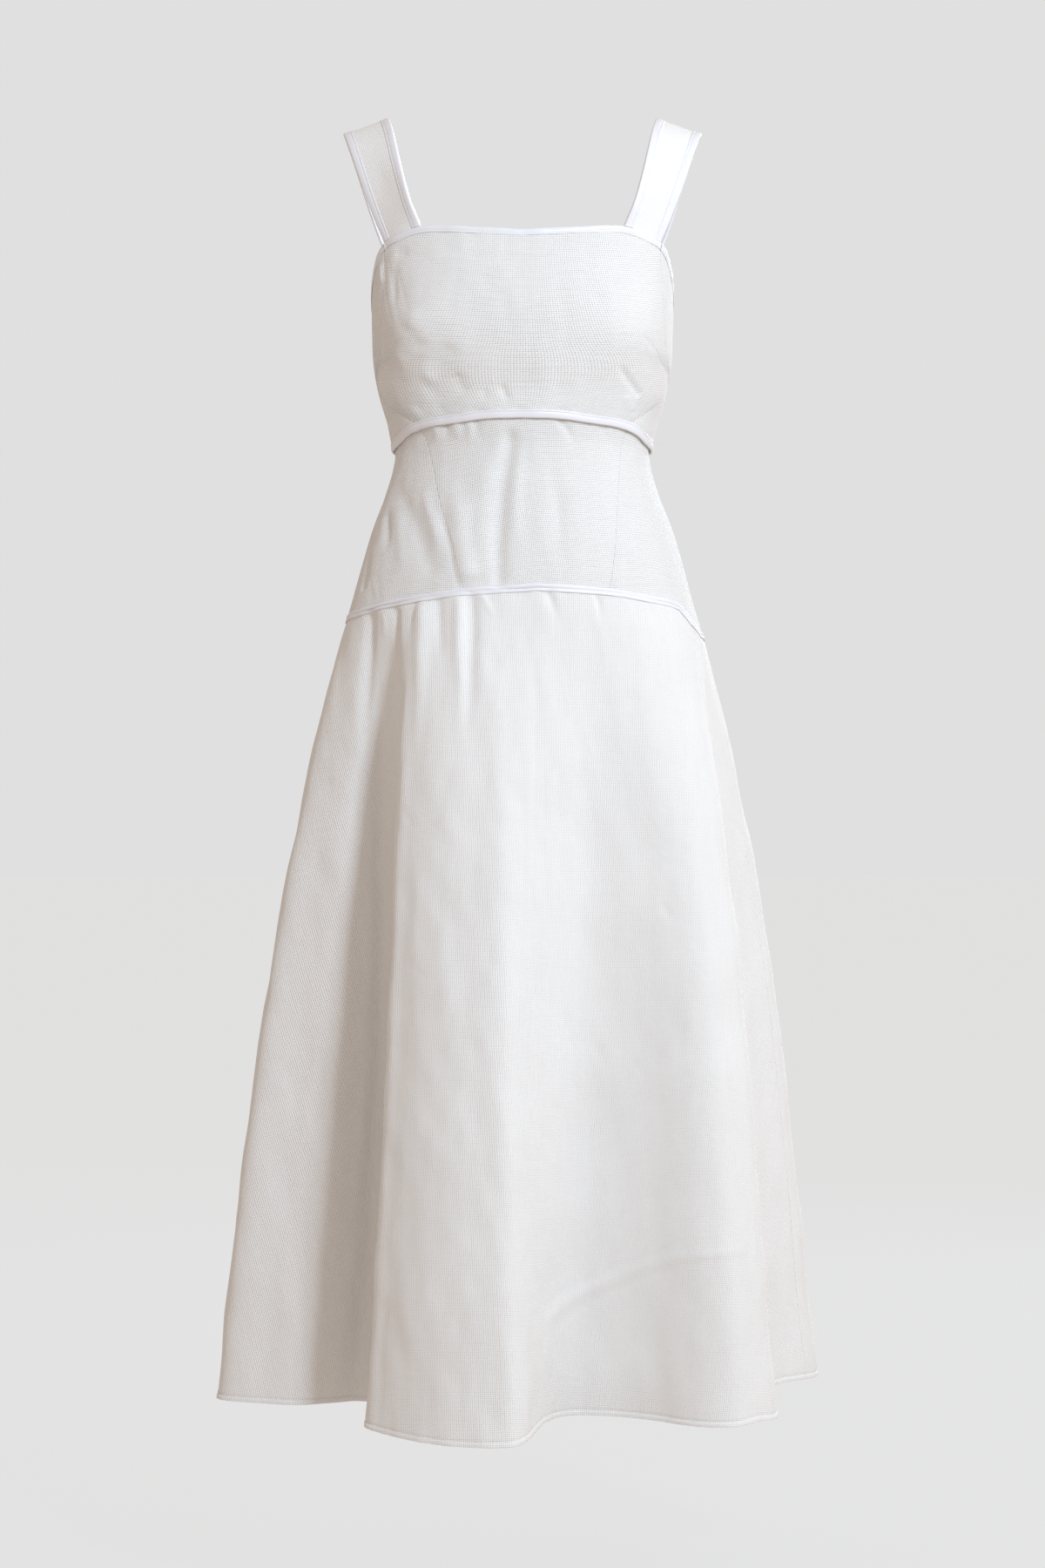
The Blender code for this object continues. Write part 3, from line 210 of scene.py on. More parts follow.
# Creases: soft troughs (depth below 0) and ridges in the cloth, with their width and depth in mm. Start and
# end are the shares of the path over which a crease comes and goes; 0 is at full depth from that end. In
# front a path is (x, z) in mm on the plane Y = 0, as the eye sees it.
Crease = namedtuple("Crease", "path width depth start end", defaults=(0.3, 0.3))
FRONT_CREASES = {
    "bodice": [
        # Round the points of the cups.
        ([(-105, -174), (-107, -186), (-110, -199)], 9, 2, 0.4, 0.4),
        ([(-92, -212), (-76, -233), (-60, -268)], 14, -2, 0.3, 0.4),
        ([(-100, -211), (-97, -211)], 6, -1.4, 0, 0),
        ([(-72, -216), (-69, -217)], 6, -1.2, 0, 0),
        ([(-64, -239), (-56, -256)], 6, -1.5, 0.1, 0.1),
        ([(-90, -253), (-87, -254)], 8, -1.6, 0, 0),
        ([(-82, -270), (-79, -270)], 5, -1, 0, 0),
        ([(-121, -224), (-118, -226)], 7, 1.2, 0, 0),
        ([(-104, -277), (-100, -277)], 5, 1.2, 0, 0),
        ([(-93, -238), (-91, -241)], 6, 1.2, 0, 0),
        ([(-21, -248), (-17, -257), (-13, -267)], 3.5, -1.4, 0.3, 0.4),
        ([(-39, -252), (-34, -266)], 4, -0.8),
        ([(93, -231), (104, -248), (114, -262)], 3.5, -1.9, 0.3, 0.1),
        ([(99, -260), (106, -277)], 5, 1, 0.2, 0.2),
        ([(-72, -117), (-22, -126), (37, -134)], 8, -0.5, 0.4, 0.4),
        # Pulls from the strap on the wearer's right.
        ([(-137, -130), (-136, -143), (-135, -155)], 4, 1.6, 0.2, 0.4),
        ([(-124, -134), (-123, -151), (-123, -172)], 4, -1.2, 0.2, 0.4),
        ([(-118, -121), (-115, -122)], 5, -1.4, 0, 0),
        ([(-133, -130), (-131, -164), (-123, -197)], 2.2, -0.4, 0.2, 0.4),
        ([(-129, -130), (-123, -168), (-114, -199)], 2.2, -0.4, 0.2, 0.4),
        ([(-123, -127), (-114, -164), (-105, -190)], 2.2, -0.4, 0.2, 0.4),
    ],
    "midriff": [
        # Gathers under the bust.
        ([(-84, -288), (-84, -311)], 4, 1.6, 0, 0.8),
        ([(-73, -286), (-73, -308)], 3, -1.6, 0, 0.8),
        ([(-64, -286), (-64, -308)], 4, 1.4, 0, 0.8),
        ([(-56, -286), (-56, -300)], 3, -1, 0, 0.8),
        ([(-52, -286), (-52, -305)], 3.5, 1, 0, 0.8),
        ([(-44, -285), (-44, -305)], 3.5, -1.3, 0, 0.8),
        ([(37, -284), (44, -295), (52, -308)], 3.5, -1.8, 0, 0.7),
        ([(77, -287), (81, -297), (86, -309)], 4, -0.9, 0, 0.8),
        # Folds that pull towards the seams.
        ([(-82, -371), (-72, -399), (-61, -443)], 3, -1.2, 0.3, 0),
        ([(-69, -340), (-62, -380), (-51, -441)], 11, 3.6, 0.35, 0.1),
        ([(-121, -338), (-106, -382), (-94, -413), (-83, -438)], 9, -2.6, 0.3, 0.1),
        ([(-97, -345), (-86, -382), (-74, -420)], 6, 2),
        ([(-132, -365), (-131, -386), (-131, -416)], 5.5, -2.4, 0.4, 0.4),
        ([(-125, -369), (-121, -382), (-113, -432)], 6, 1.2),
        ([(-144, -382), (-149, -416), (-154, -449)], 5, -2.4, 0.3, 0.1),
        ([(-147, -428), (-145, -456)], 2.2, -0.5, 0.4, 0),
        ([(-140, -428), (-138, -456)], 2.2, -0.5, 0.4, 0),
        ([(-11, -288), (-16, -332), (-21, -374), (-23, -442)], 6.5, -4, 0.1, 0),
        ([(-1, -296), (-6, -348), (-10, -416)], 6, 1, 0.2, 0.3),
        ([(-35, -298), (-38, -365), (-39, -432)], 9, 1.6, 0.3, 0.2),
        ([(30, -326), (34, -374), (38, -421)], 6, -1.2, 0.4, 0.4),
        ([(106, -348), (109, -382), (110, -416)], 5, -0.8, 0.4, 0.4),
        ([(103, -405), (101, -425), (100, -450)], 5, -1, 0.5, 0),
        ([(124, -410), (121, -430), (118, -455)], 5.5, -1, 0.5, 0),
    ],
    "skirt": [
        # Gathers under the drop-waist seam.
        ([(-147, -472), (-149, -516), (-150, -550), (-155, -634)], 7, -4.4, 0, 0.8),
        ([(-134, -472), (-133, -500)], 3.5, 1.2, 0, 0.8),
        ([(-123, -469), (-122, -500), (-121, -550), (-125, -634)], 5.5, -3.2, 0, 0.8),
        ([(-104, -460), (-108, -479), (-111, -500)], 3, -1, 0, 0.8),
        ([(-96, -463), (-98, -500), (-100, -550), (-106, -626)], 9, 5, 0, 0.8),
        ([(-81, -458), (-80, -500), (-79, -527)], 5, -2.2, 0, 0.8),
        ([(-62, -458), (-62, -500), (-60, -550), (-62, -600)], 6, 2.8, 0, 0.8),
        ([(-49, -452), (-49, -500), (-52, -550), (-58, -600)], 5.5, -4.2, 0, 0.8),
        ([(-38, -455), (-31, -466), (-24, -476)], 2.6, 1.5, 0, 0.8),
        ([(27, -452), (30, -463), (32, -476)], 3.5, -2.2, 0, 0.8),
        ([(72, -452), (74, -466), (74, -483)], 3.5, -2.2, 0, 0.8),
        ([(124, -466), (126, -476), (129, -487)], 4, -0.9, 0, 0.8),
        # Dents, and the faint fold down the front crest.
        ([(9, -485), (13, -550), (12, -634), (8, -802), (4, -970), (2, -1170)], 3, -0.35, 0.1, 0.2),
        ([(-118, -655), (-107, -672)], 3, -0.5, 0, 0),
        ([(-111, -806), (-94, -819)], 3, -0.4, 0, 0),
        ([(105, -554), (110, -550)], 3.5, -0.8, 0, 0),
        ([(136, -752), (141, -758)], 3.5, -0.8, 0, 0),
        ([(69, -878), (82, -911)], 4, -0.7),
        ([(109, -905), (113, -909)], 4, -0.7, 0, 0),
        # A fold pressed across the skirt, low on the wearer's left.
        ([(18, -1161), (67, -1121), (141, -1093), (220, -1080)], 5, 1.2, 0.15, 0.1),
        ([(15, -1151), (62, -1113), (137, -1088), (221, -1075)], 2.4, -0.6, 0.15, 0.1),
        ([(24, -1172), (74, -1130), (150, -1100), (221, -1085)], 2.4, -0.6, 0.15, 0.1),
        ([(107, -1180), (120, -1165), (133, -1146)], 3, -0.5),
    ],
}
# Hidden sides: pulls and gathers like those in front. A path is (angle, z in mm).
HIDDEN_CREASES = {
    "bodice": [
        ([(140, -128), (148, -165), (160, -205)], 8, -1.6, 0.3, 0.6),
        ([(-138, -128), (-145, -160), (-155, -195)], 8, -1.5, 0.3, 0.6),
        ([(128, -150), (131, -185), (137, -225)], 6, 1.0, 0.3, 0.6),
    ],
    "midriff": [
        ([(150, -320), (147, -345), (141, -385)], 6, -1.6, 0, 0.8),
        ([(-152, -320), (-149, -340), (-142, -375)], 6, -1.8, 0, 0.8),
        ([(165, -316), (150, -324), (128, -334)], 6, -1.4),
        ([(-168, -322), (-150, -330), (-125, -338)], 6, -1.6, 0.3, 0.5),
        ([(-100, -330), (-103, -360), (-110, -400)], 6, -1.8),
        ([(101, -345), (104, -380), (112, -425)], 6.5, -1.6),
    ],
    "skirt": [
        ([(146, -498), (146, -530), (147, -590)], 7, -2.6, 0, 0.8),
        ([(134, -498), (133, -530), (134, -570)], 7, 1.8, 0, 0.8),
        ([(122, -496), (121, -520), (121, -560)], 6, -2.2, 0, 0.8),
        ([(-150, -496), (-151, -530), (-152, -600)], 7, -2.6, 0, 0.8),
        ([(-139, -494), (-140, -530), (-141, -590)], 7, 2.2, 0, 0.8),
        ([(-128, -490), (-128, -515), (-127, -550)], 6, -2.2, 0, 0.8),
        ([(166, -498), (166, -520), (166, -550)], 5, -1.6, 0, 0.8),
        ([(-166, -498), (-167, -518), (-168, -540)], 5, -1.2, 0, 0.8),
        ([(98, -495), (98, -530), (99, -580)], 6, -2.0, 0, 0.8),
        ([(-97, -478), (-97, -515), (-98, -565)], 6, -2.0, 0, 0.8),
        ([(-110, -485), (-111, -520), (-113, -580)], 7, 1.6, 0, 0.8),
    ],
}
CREASE_REACH = 2.6  # a crease is felt this many widths from its path
SEAM_HOLD = 0.3  # the share of a crease that the drop-waist seam lets through
SEAM_RELEASE = 0.010  # how far from that seam a crease is whole again

# Bust darts, from the side seam to the middle of each cup, on the wearer's right; the left's is its mirror.
DART = [(-73.5, -0.2415), (-64.8, -0.2350), (-54.5, -0.2220), (-44.2, -0.2120)]
DART_WIDTH, DART_DEPTH = 0.0016, 0.0008


# ---------------------------------------------------------------- curves and surfaces
def through(knots, values, at):
    """A smooth curve through the values at the knots, read at many places."""
    knots, values, at = (np.asarray(a, float) for a in (knots, values, at))
    slopes = np.gradient(values, knots)
    i = np.clip(np.searchsorted(knots, at) - 1, 0, len(knots) - 2)
    span = knots[i + 1] - knots[i]
    s = np.clip((at - knots[i]) / span, 0.0, 1.0)
    return (
        values[i] * (1 + 2 * s) * (1 - s) ** 2
        + values[i + 1] * s * s * (3 - 2 * s)
        + span * slopes[i] * s * (1 - s) ** 2
        - span * slopes[i + 1] * s * s * (1 - s)
    )


def columns(rows, *names):
    """The named fields of all rows, one list each."""
    return [[getattr(row, name) for row in rows] for name in names]


def rounded_step(x):
    x = np.clip(x, 0.0, 1.0)
    return x * x * (3 - 2 * x)


def bell(distance, width):
    return np.exp(-((distance / width) ** 2))


def length(vectors):
    return np.linalg.norm(vectors, axis=-1)


def run_along(points):
    """How far along a line each of its points is."""
    return np.cumsum([0.0, *length(np.diff(points, axis=0))])


def unit(vectors):
    return vectors / np.maximum(length(vectors), 1e-12)[..., None]


def wrapped(angle):
    return (angle + 180.0) % 360.0 - 180.0


def ring_point(angle, half_width, front, back, power):
    """Points of superellipses, at angles measured from the front."""
    s, c = np.sin(np.radians(angle)), np.cos(np.radians(angle))
    exponent = 2.0 / power
    depth = np.where(c > 0, front, back)
    return np.sign(s) * half_width * np.abs(s) ** exponent, -np.sign(c) * depth * np.abs(c) ** exponent


SECTION_Z, *SECTION_SIZES = columns(TORSO[::-1], "z", "half_width", "front", "back", "power")


def torso(angle, z):
    half_width, front, back, power = (through(SECTION_Z, sizes, z) for sizes in SECTION_SIZES)
    across = (np.abs(wrapped(angle)) - CUP_ANGLE) / CUP_SPREAD
    cup = CUP_FULLNESS * np.exp(-(across**2) - ((z - CUP_HEIGHT) / CUP_RISE) ** 2)
    x, y = ring_point(angle, half_width + cup, front + cup, back, power)
    return np.stack([x, y, z + 0 * x], axis=-1)


def top_edge(angle):
    return through(*zip(*TOP_EDGE), np.abs(wrapped(angle)))


def underbust(angle):
    return through(*zip(*UNDERBUST), np.abs(wrapped(angle)))


def yoke(angle):
    return np.interp(wrapped(angle), *zip(*YOKE))


def bodice(angle, z):
    near_edge = rounded_step(1 - (z - underbust(angle)) / BODICE_LIFT_HEIGHT)
    return torso(angle, z) + normal(torso, angle, z) * (BODICE_LIFT * near_edge)[..., None]


HEM_LAP = 4  # rows from each end of HEM that are put before and after it, so that the curve closes
WRAPPED_HEM = (
    [row._replace(angle=row.angle - 360) for row in HEM[-HEM_LAP:]]
    + HEM
    + [row._replace(angle=row.angle + 360) for row in HEM[:HEM_LAP]]
)
HEM_ANGLES, HEM_GROWTHS, *HEM_PLACES = columns(WRAPPED_HEM, "angle", "growth", "x", "y", "z")


def on_hem(values, angle):
    return through(HEM_ANGLES, values, (angle - HEM[0].angle) % 360.0 + HEM[0].angle)


def hem(angle):
    return np.stack([on_hem(places, angle) for places in HEM_PLACES], axis=-1)


def skirt(angle, z):
    """A plain flare from the yoke, out of which the folds grow on their way to the hem."""
    start, end = torso(angle, yoke(angle)), hem(angle)
    t = (start[..., 2] - z) / (start[..., 2] - end[..., 2])
    flare = sum(factor * t ** (i + 1) for i, factor in enumerate(FLARE))
    soft = t * t / (t + SOFT_START)
    growth = t * t + on_hem(HEM_GROWTHS, angle) * soft * (1 - t)
    plain = np.stack(ring_point(angle, HEM_HALF_WIDTH, HEM_FRONT, HEM_BACK, HEM_POWER), axis=-1)
    start, end = start[..., :2], end[..., :2]
    xy = start + (plain - start) * flare[..., None] + (end - plain) * growth[..., None]
    return np.concatenate([xy, (z + 0 * t)[..., None]], axis=-1)


def whole(angle, z):
    """The torso down to the drop-waist seam, and the skirt below it."""
    return np.where((z > yoke(angle))[..., None], torso(angle, z), skirt(angle, z))


def normal(surface, angle, z):
    turn, drop = 0.25, 0.0005
    around = surface(angle + turn, z) - surface(angle - turn, z)
    down = surface(angle, z - drop) - surface(angle, z + drop)
    return unit(np.cross(down, around))


def seen(points):
    """Where the eye sees the points on the plane Y = 0, as x and z."""
    nearness = EYE_DISTANCE / (EYE_DISTANCE + points[..., 1])
    height = EYE_HEIGHT + (points[..., 2] - EYE_HEIGHT) * nearness
    return np.stack([points[..., 0] * nearness, height], axis=-1)


# ---------------------------------------------------------------- creases
SURFACES = {"bodice": bodice, "midriff": torso, "skirt": skirt}
PATH_STEPS = 24
# The places that are tried for what the eye sees: as far round as this, and this close in angle and height.
LATTICE_REACH, LATTICE_TURN, LATTICE_DROP = 112.0, 0.6, 0.003


def lattice(surface, low, high):
    """Places on a surface between two heights, where the eye sees them, their depth, and which face it."""
    across = np.arange(-LATTICE_REACH, LATTICE_REACH, LATTICE_TURN)
    angle, z = np.meshgrid(across, np.arange(low, high, LATTICE_DROP))
    facing = normal(surface, angle, z)[..., 1] < 0.1
    return angle, z, seen(surface(angle, z)), surface(angle, z)[..., 1], facing


LATTICES = {
    "bodice": lattice(bodice, -0.33, -0.10),
    "midriff": lattice(torso, -0.50, -0.28),
    "skirt": lattice(skirt, -1.24, -0.45),
}
BEHIND = 0.04  # how much a place further from the eye counts against it, when two are seen together


def place_seen(part, x, z):
    """The angle and height of the place on a part that the eye sees at (x, z) on the plane Y = 0."""
    angles, heights, pictures, depth, facing = LATTICES[part]
    miss = length(pictures - (x, z)) + BEHIND * depth + np.where(facing, 0.0, 1.0)
    best = np.unravel_index(np.argmin(miss), miss.shape)
    return angles[best], heights[best]


def crease_line(part, path):
    """Points along a crease's path, on its surface."""
    knots, marks = np.arange(len(path)), np.linspace(0, len(path) - 1, PATH_STEPS)
    angle, z = (through(knots, values, marks) for values in zip(*path))
    return SURFACES[part](angle, z)


def nearest_on(line, points):
    """Each point's distance from a line, and how far along the line it is, as a share."""
    best = np.full(len(points), np.inf)
    where = np.zeros(len(points))
    run = run_along(line)
    for start, end, first, last in zip(line, line[1:], run, run[1:]):
        span = end - start
        s = np.clip((points - start) @ span / max(span @ span, 1e-18), 0, 1)
        gap = length(points - start - s[:, None] * span)
        closer = gap < best
        best[closer] = gap[closer]
        where[closer] = (first + s * (last - first))[closer] / run[-1]
    return best, where


def fade(where, start, end):
    """1 along a path, and down to 0 at each end over a share of it."""
    come = rounded_step(where / start) if start else 1.0
    go = rounded_step((1 - where) / end) if end else 1.0
    return come * go


def all_creases(part):
    """Every crease of a part, with the points along it."""
    creases = []
    for crease in (Crease(*row) for row in FRONT_CREASES[part]):
        places = [place_seen(part, x / 1000.0, z / 1000.0) for x, z in crease.path]
        creases.append((crease, crease_line(part, places)))
    for crease in (Crease(*row) for row in HIDDEN_CREASES[part]):
        places = [(angle, z / 1000.0) for angle, z in crease.path]
        creases.append((crease, crease_line(part, places)))
    return creases


CREASE_LINES = {part: all_creases(part) for part in SURFACES}
DART_ANGLES, DART_HEIGHTS = np.array(DART).T
DART_LINES = [bodice(sign * DART_ANGLES, DART_HEIGHTS) for sign in (1, -1)]


def creased(part, points):
    """How far a part's creases move each of its points out."""
    flat = points.reshape(-1, 3)
    out = np.zeros(len(flat))
    for crease, line in CREASE_LINES[part]:
        width, depth = crease.width / 1000.0, crease.depth / 1000.0
        reach = CREASE_REACH * width
        near = np.all((flat > line.min(0) - reach) & (flat < line.max(0) + reach), axis=1)
        if near.any():
            gap, where = nearest_on(line, flat[near])
            out[near] += depth * bell(gap, width) * fade(where, crease.start, crease.end)
    return out.reshape(points.shape[:-1])


# Waves that run every way through the cloth. Upright below 1 makes them ripple more across than down.
Waves = namedtuple("Waves", "count shortest longest upright depth seed")
BROAD = Waves(26, 0.035, 0.130, 0.45, 0.00075, 7)  # the unevenness of cloth that nothing stretches flat
FINE = Waves(44, 0.012, 0.034, 0.22, 0.00022, 11)  # the crumple of cotton that has been worn
WAVE_SCALE = 1.6  # makes up for the shorter waves, which are lower
SHARES = {"bodice": (0.45, 0.8), "midriff": (0.5, 0.8), "skirt": (0.9, 1.2)}  # of each that a part shows
CRUMPLED_PLACE, CRUMPLED_REACH = -0.075, 0.12  # where across the dress it crumples most
LEAST_CRUMPLED = 0.4  # share of the crumple that is left away from there


def drawn(waves):
    draw = np.random.default_rng(waves.seed)
    wavelength = draw.uniform(waves.shortest, waves.longest, waves.count)
    direction = unit(draw.normal(size=(waves.count, 3)) * (1.0, 1.0, waves.upright))
    vectors = direction * (2 * math.pi / wavelength)[:, None]
    heights = wavelength / waves.longest * waves.depth * WAVE_SCALE / math.sqrt(waves.count / 2)
    return list(zip(vectors, draw.uniform(0, 2 * math.pi, waves.count), heights))


BROAD_WAVES, FINE_WAVES = drawn(BROAD), drawn(FINE)


def waved(points, waves):
    total = np.zeros(points.shape[:-1])
    for vector, phase, height in waves:
        total += np.sin(points @ vector + phase) * height
    return total


def relief(part, angle, z, points):
    """How far creases and unevenness move the points of a part out."""
    broad, fine = SHARES[part]
    held = SEAM_HOLD + (1 - SEAM_HOLD) * rounded_step(np.abs(yoke(angle) - z) / SEAM_RELEASE)
    near = bell(points[..., 0] - CRUMPLED_PLACE, CRUMPLED_REACH)
    crumple = fine * (LEAST_CRUMPLED + (1 - LEAST_CRUMPLED) * near)
    creases = held * creased(part, points)
    return creases + broad * waved(points, BROAD_WAVES) + crumple * waved(points, FINE_WAVES)


def whole_relief(angle, z, points):
    upper, middle, lower = (relief(part, angle, z, points) for part in SURFACES)
    return np.where(z > underbust(angle), upper, np.where(z > yoke(angle), middle, lower))


def ripple(run, wavelength, seed):
    """A smooth random line from 0 to 1, along a seam."""
    draw = np.random.default_rng(seed)
    knots = np.arange(0.0, float(np.max(run)) + 4 * wavelength, wavelength)
    return through(knots, draw.uniform(0, 1, len(knots)), run)


# ---------------------------------------------------------------- places on a surface
FINE_ENDS = (0.0, 0.0005, 0.0011, 0.0019, 0.0029, 0.0039, 0.0048, 0.0058, 0.0075)


def spaced(run, step):
    """An odd number of places from 0 to run: close together near both ends and even between them."""
    ends = np.array(FINE_ENDS)
    count = 2 * max(int(round((run - 2 * ends[-1]) / step / 2)), 1)
    middle = np.linspace(ends[-1], run - ends[-1], count + 1)
    return np.concatenate([ends[:-1], middle, run - ends[-2::-1]])


SEAM_SAMPLES = 40  # between two of a seam's points
PANEL_SAMPLES = 400  # across a panel


def along(surface, points, shares):
    """Places on a smooth line through points of a surface, at shares of its length."""
    knots = np.arange(len(points))
    fine = np.linspace(0, len(points) - 1, SEAM_SAMPLES * len(points))
    angles, heights = (through(knots, values, fine) for values in zip(*points))
    run = run_along(surface(angles, heights))
    marks = np.asarray(shares) * run[-1]
    return np.stack([np.interp(marks, run, angles), np.interp(marks, run, heights)], axis=-1)


def mirrored(points):
    return [(-angle, z) for angle, z in points]


def straight_down(angle, top=-0.1, bottom=-0.5):
    """A seam straight down the body, whose ends the panel's edges then take to their heights."""
    return [(angle, top), (angle, bottom)]


def beside(surface, line, distance):
    """The line moved sideways on the surface: to the side of larger angles, or up where it runs round."""
    angle, z = line[:, 0], line[:, 1]
    places = surface(angle, z)
    last = len(line) - 1
    index = np.arange(len(line))
    run = places[np.minimum(index + 1, last)] - places[np.maximum(index - 1, 0)]
    aside = unit(np.cross(run, normal(surface, angle, z)))
    degree = surface(angle + 0.5, z) - surface(angle - 0.5, z)
    turn = np.sum(aside * unit(degree), axis=-1) / length(degree)
    return np.stack([angle - distance * turn, z - distance * aside[:, 2]], axis=-1)


def onto_edges(line, shares, top, bottom):
    """The line stretched up and down until its ends reach the two edges."""
    first, last = top(line[0, 0]) - line[0, 1], bottom(line[-1, 0]) - line[-1, 1]
    moved = line.copy()
    moved[:, 1] += first * (1 - shares) + last * shares
    return moved


def slid_onto_edges(line, top, bottom):
    """The line with its ends slid along it onto the two edges."""
    line = line.copy()
    for end, inner, edge in ((0, 3, top), (-1, -4, bottom)):
        for _ in range(3):
            slide = (edge(line[end, 0]) - line[end, 1]) / (line[end, 1] - line[inner, 1])
            line[end] += (line[end] - line[inner]) * slide
    return line


def between(left, right, down, across, edges):
    """Angles and heights between two seams, with the first and last rows on the two edges."""
    top, bottom = edges
    v, u = down[:, None], across[None, :]
    upper = left[0, 0] + (right[0, 0] - left[0, 0]) * u
    lower = left[-1, 0] + (right[-1, 0] - left[-1, 0]) * u
    z = top(upper) * (1 - v) + bottom(lower) * v
    for line, nearness in ((left, 1 - u), (right, u)):
        off = line[:, 1] - top(line[0, 0]) * (1 - down) - bottom(line[-1, 0]) * down
        z = z + off[:, None] * nearness
    angle = left[:, :1] + (right[:, :1] - left[:, :1]) * u
    return angle, z


def panel(surface, seams, edges, step, across_at=0.5):
    """A fine grid of angles and heights between two seams and two edges. Its columns are even at across_at,
    a share of the way down."""
    tops = [seam[0][0] for seam in seams]
    drop = max(abs(edges[0](np.array(t)) - edges[1](np.array(seam[-1][0]))) for t, seam in zip(tops, seams))
    down = spaced(float(drop), step[0])
    down = down / down[-1]
    sides = []
    for seam, aside in zip(seams, (SEAM_GAP / 2, -SEAM_GAP / 2)):
        line = onto_edges(along(surface, seam, down), down, *edges)
        sides.append(slid_onto_edges(beside(surface, line, aside), *edges))
    even = np.linspace(0, 1, PANEL_SAMPLES)
    at = int(round(across_at * (len(down) - 1)))
    angle = sides[0][at, 0] + (sides[1][at, 0] - sides[0][at, 0]) * even
    height = sides[0][at, 1] + (sides[1][at, 1] - sides[0][at, 1]) * even
    run = run_along(surface(angle, height))
    across = np.interp(spaced(run[-1], step[1]), run, even)
    return between(*sides, down, across, edges)


def distances(points):
    """How far each point of a grid is from its left, right, top and bottom edges, along the grid."""
    across = np.cumsum(length(np.diff(points, axis=1, prepend=points[:, :1])), axis=1)
    down = np.cumsum(length(np.diff(points, axis=0, prepend=points[:1])), axis=0)
    return across, across[:, -1:] - across, down, down[-1:] - down


def flat_cut(points, start):
    """The panel laid flat: its columns side by side, each straight and as long as it is."""
    count = points.shape[1]
    down = distances(points)[2]
    flat = np.zeros((*points.shape[:2], 2))
    flat[:, start, 1] = -down[:, start]
    for step in (1, -1):
        turn = 0.0
        origin = np.zeros(2)
        for c in range(start + step, count if step > 0 else -1, step):
            before = c - step
            tangent = unit(points[3, before] - points[0, before])
            gap = points[0, c] - points[0, before]
            along_it = gap @ tangent
            across = math.sqrt(max(gap @ gap - along_it**2, 0.0))
            last = unit(points[-1, before] - points[-4, before])
            low_gap = points[-1, c] - points[-1, before]
            low_across = math.sqrt(max(low_gap @ low_gap - (low_gap @ last) ** 2, 0.0))
            turn += (low_across - across) / down[-1, c]
            aside = np.array([math.cos(turn), math.sin(turn)])
            drop = np.array([math.sin(turn), -math.cos(turn)])
            origin = origin + aside * across + drop * along_it
            flat[:, c] = origin + drop * down[:, c, None]
            if step < 0:
                flat[:, c, 0] *= -1
    return flat


def flat_area(flat):
    outline = np.concatenate([flat[0], flat[1:, -1], flat[-1, -2::-1], flat[-2:0:-1, 0]])
    x, y = outline.T
    return 0.5 * abs(float(np.dot(x, np.roll(y, -1)) - np.dot(y, np.roll(x, -1))))


# ---------------------------------------------------------------- making meshes
def outward(points, groups):
    """The groups of faces, all turned over if they face inwards."""
    volume = 0.0
    for group in groups:
        for third in range(2, group.shape[1]):
            a, b, c = (points[group[:, k]] for k in (0, third - 1, third))
            volume += float(np.sum(a * np.cross(b, c)))
    return groups if volume > 0 else [group[:, ::-1] for group in groups]


def mesh_object(name, points, groups, uv, material, nodes=()):
    """A closed mesh of groups of faces with as many corners each, as a piece in place of CAD nodes."""
    groups = outward(points, groups)
    corners = np.concatenate([group.ravel() for group in groups]).astype(np.int32)
    sizes = np.concatenate([np.full(len(group), group.shape[1]) for group in groups])
    starts = np.concatenate([[0], np.cumsum(sizes)[:-1]]).astype(np.int32)
    mesh = bpy.data.meshes.new(name)
    mesh.vertices.add(len(points))
    mesh.vertices.foreach_set("co", np.asarray(points, np.float32).ravel())
    mesh.loops.add(len(corners))
    mesh.loops.foreach_set("vertex_index", corners)
    mesh.polygons.add(len(sizes))
    mesh.polygons.foreach_set("loop_start", starts)
    layer = mesh.uv_layers.new(name="cut")
    layer.uv.foreach_set("vector", np.asarray(uv, np.float32)[corners].ravel())
    mesh.update(calc_edges=True)
    mesh.validate()
    mesh.shade_smooth()
    mesh.materials.append(material)
    obj = bpy.data.objects.new(name, mesh)
    bpy.context.scene.collection.objects.link(obj)
    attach(obj, "dress")
    if nodes:
        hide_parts(*nodes)
    return obj


def grid_faces(rows, cols, wrap=False):
    """Faces of a grid of points. wrap joins its last row to its first."""
    r, c = np.meshgrid(np.arange(rows if wrap else rows - 1), np.arange(cols - 1), indexing="ij")
    r, c = r.ravel(), c.ravel()
    below = (r + 1) % rows
    return np.stack([r * cols + c, below * cols + c, below * cols + c + 1, r * cols + c + 1], axis=-1)


def grid_normals(points):
    return unit(np.cross(np.gradient(points, axis=0), np.gradient(points, axis=1)))


def around(index):
    """The indices round a grid's edge."""
    return np.concatenate([index[0, :-1], index[:-1, -1], index[-1, :0:-1], index[:0:-1, 0]])


def shell(name, outer, thickness, uv, material, nodes):
    """A closed thin shell: the outer face, an inner face half as fine behind it, and a rim."""
    rows, cols = outer.shape[:2]
    inner = (outer - grid_normals(outer) * thickness[..., None])[::2, ::2]
    count = rows * cols
    rim = around(np.arange(count).reshape(rows, cols))
    back = around(np.arange(inner[..., 0].size).reshape(inner.shape[:2])) + count
    faces = [
        grid_faces(rows, cols),
        (grid_faces(*inner.shape[:2]) + count)[:, ::-1],
        np.stack([rim[::2], rim[1::2], np.roll(rim[::2], -1), np.roll(back, -1), back], axis=-1),
    ]
    points = np.concatenate([outer.reshape(-1, 3), inner.reshape(-1, 3)])
    cut = np.concatenate([uv.reshape(-1, 2), uv[::2, ::2].reshape(-1, 2)])
    return mesh_object(name, points, faces, cut, material, nodes)


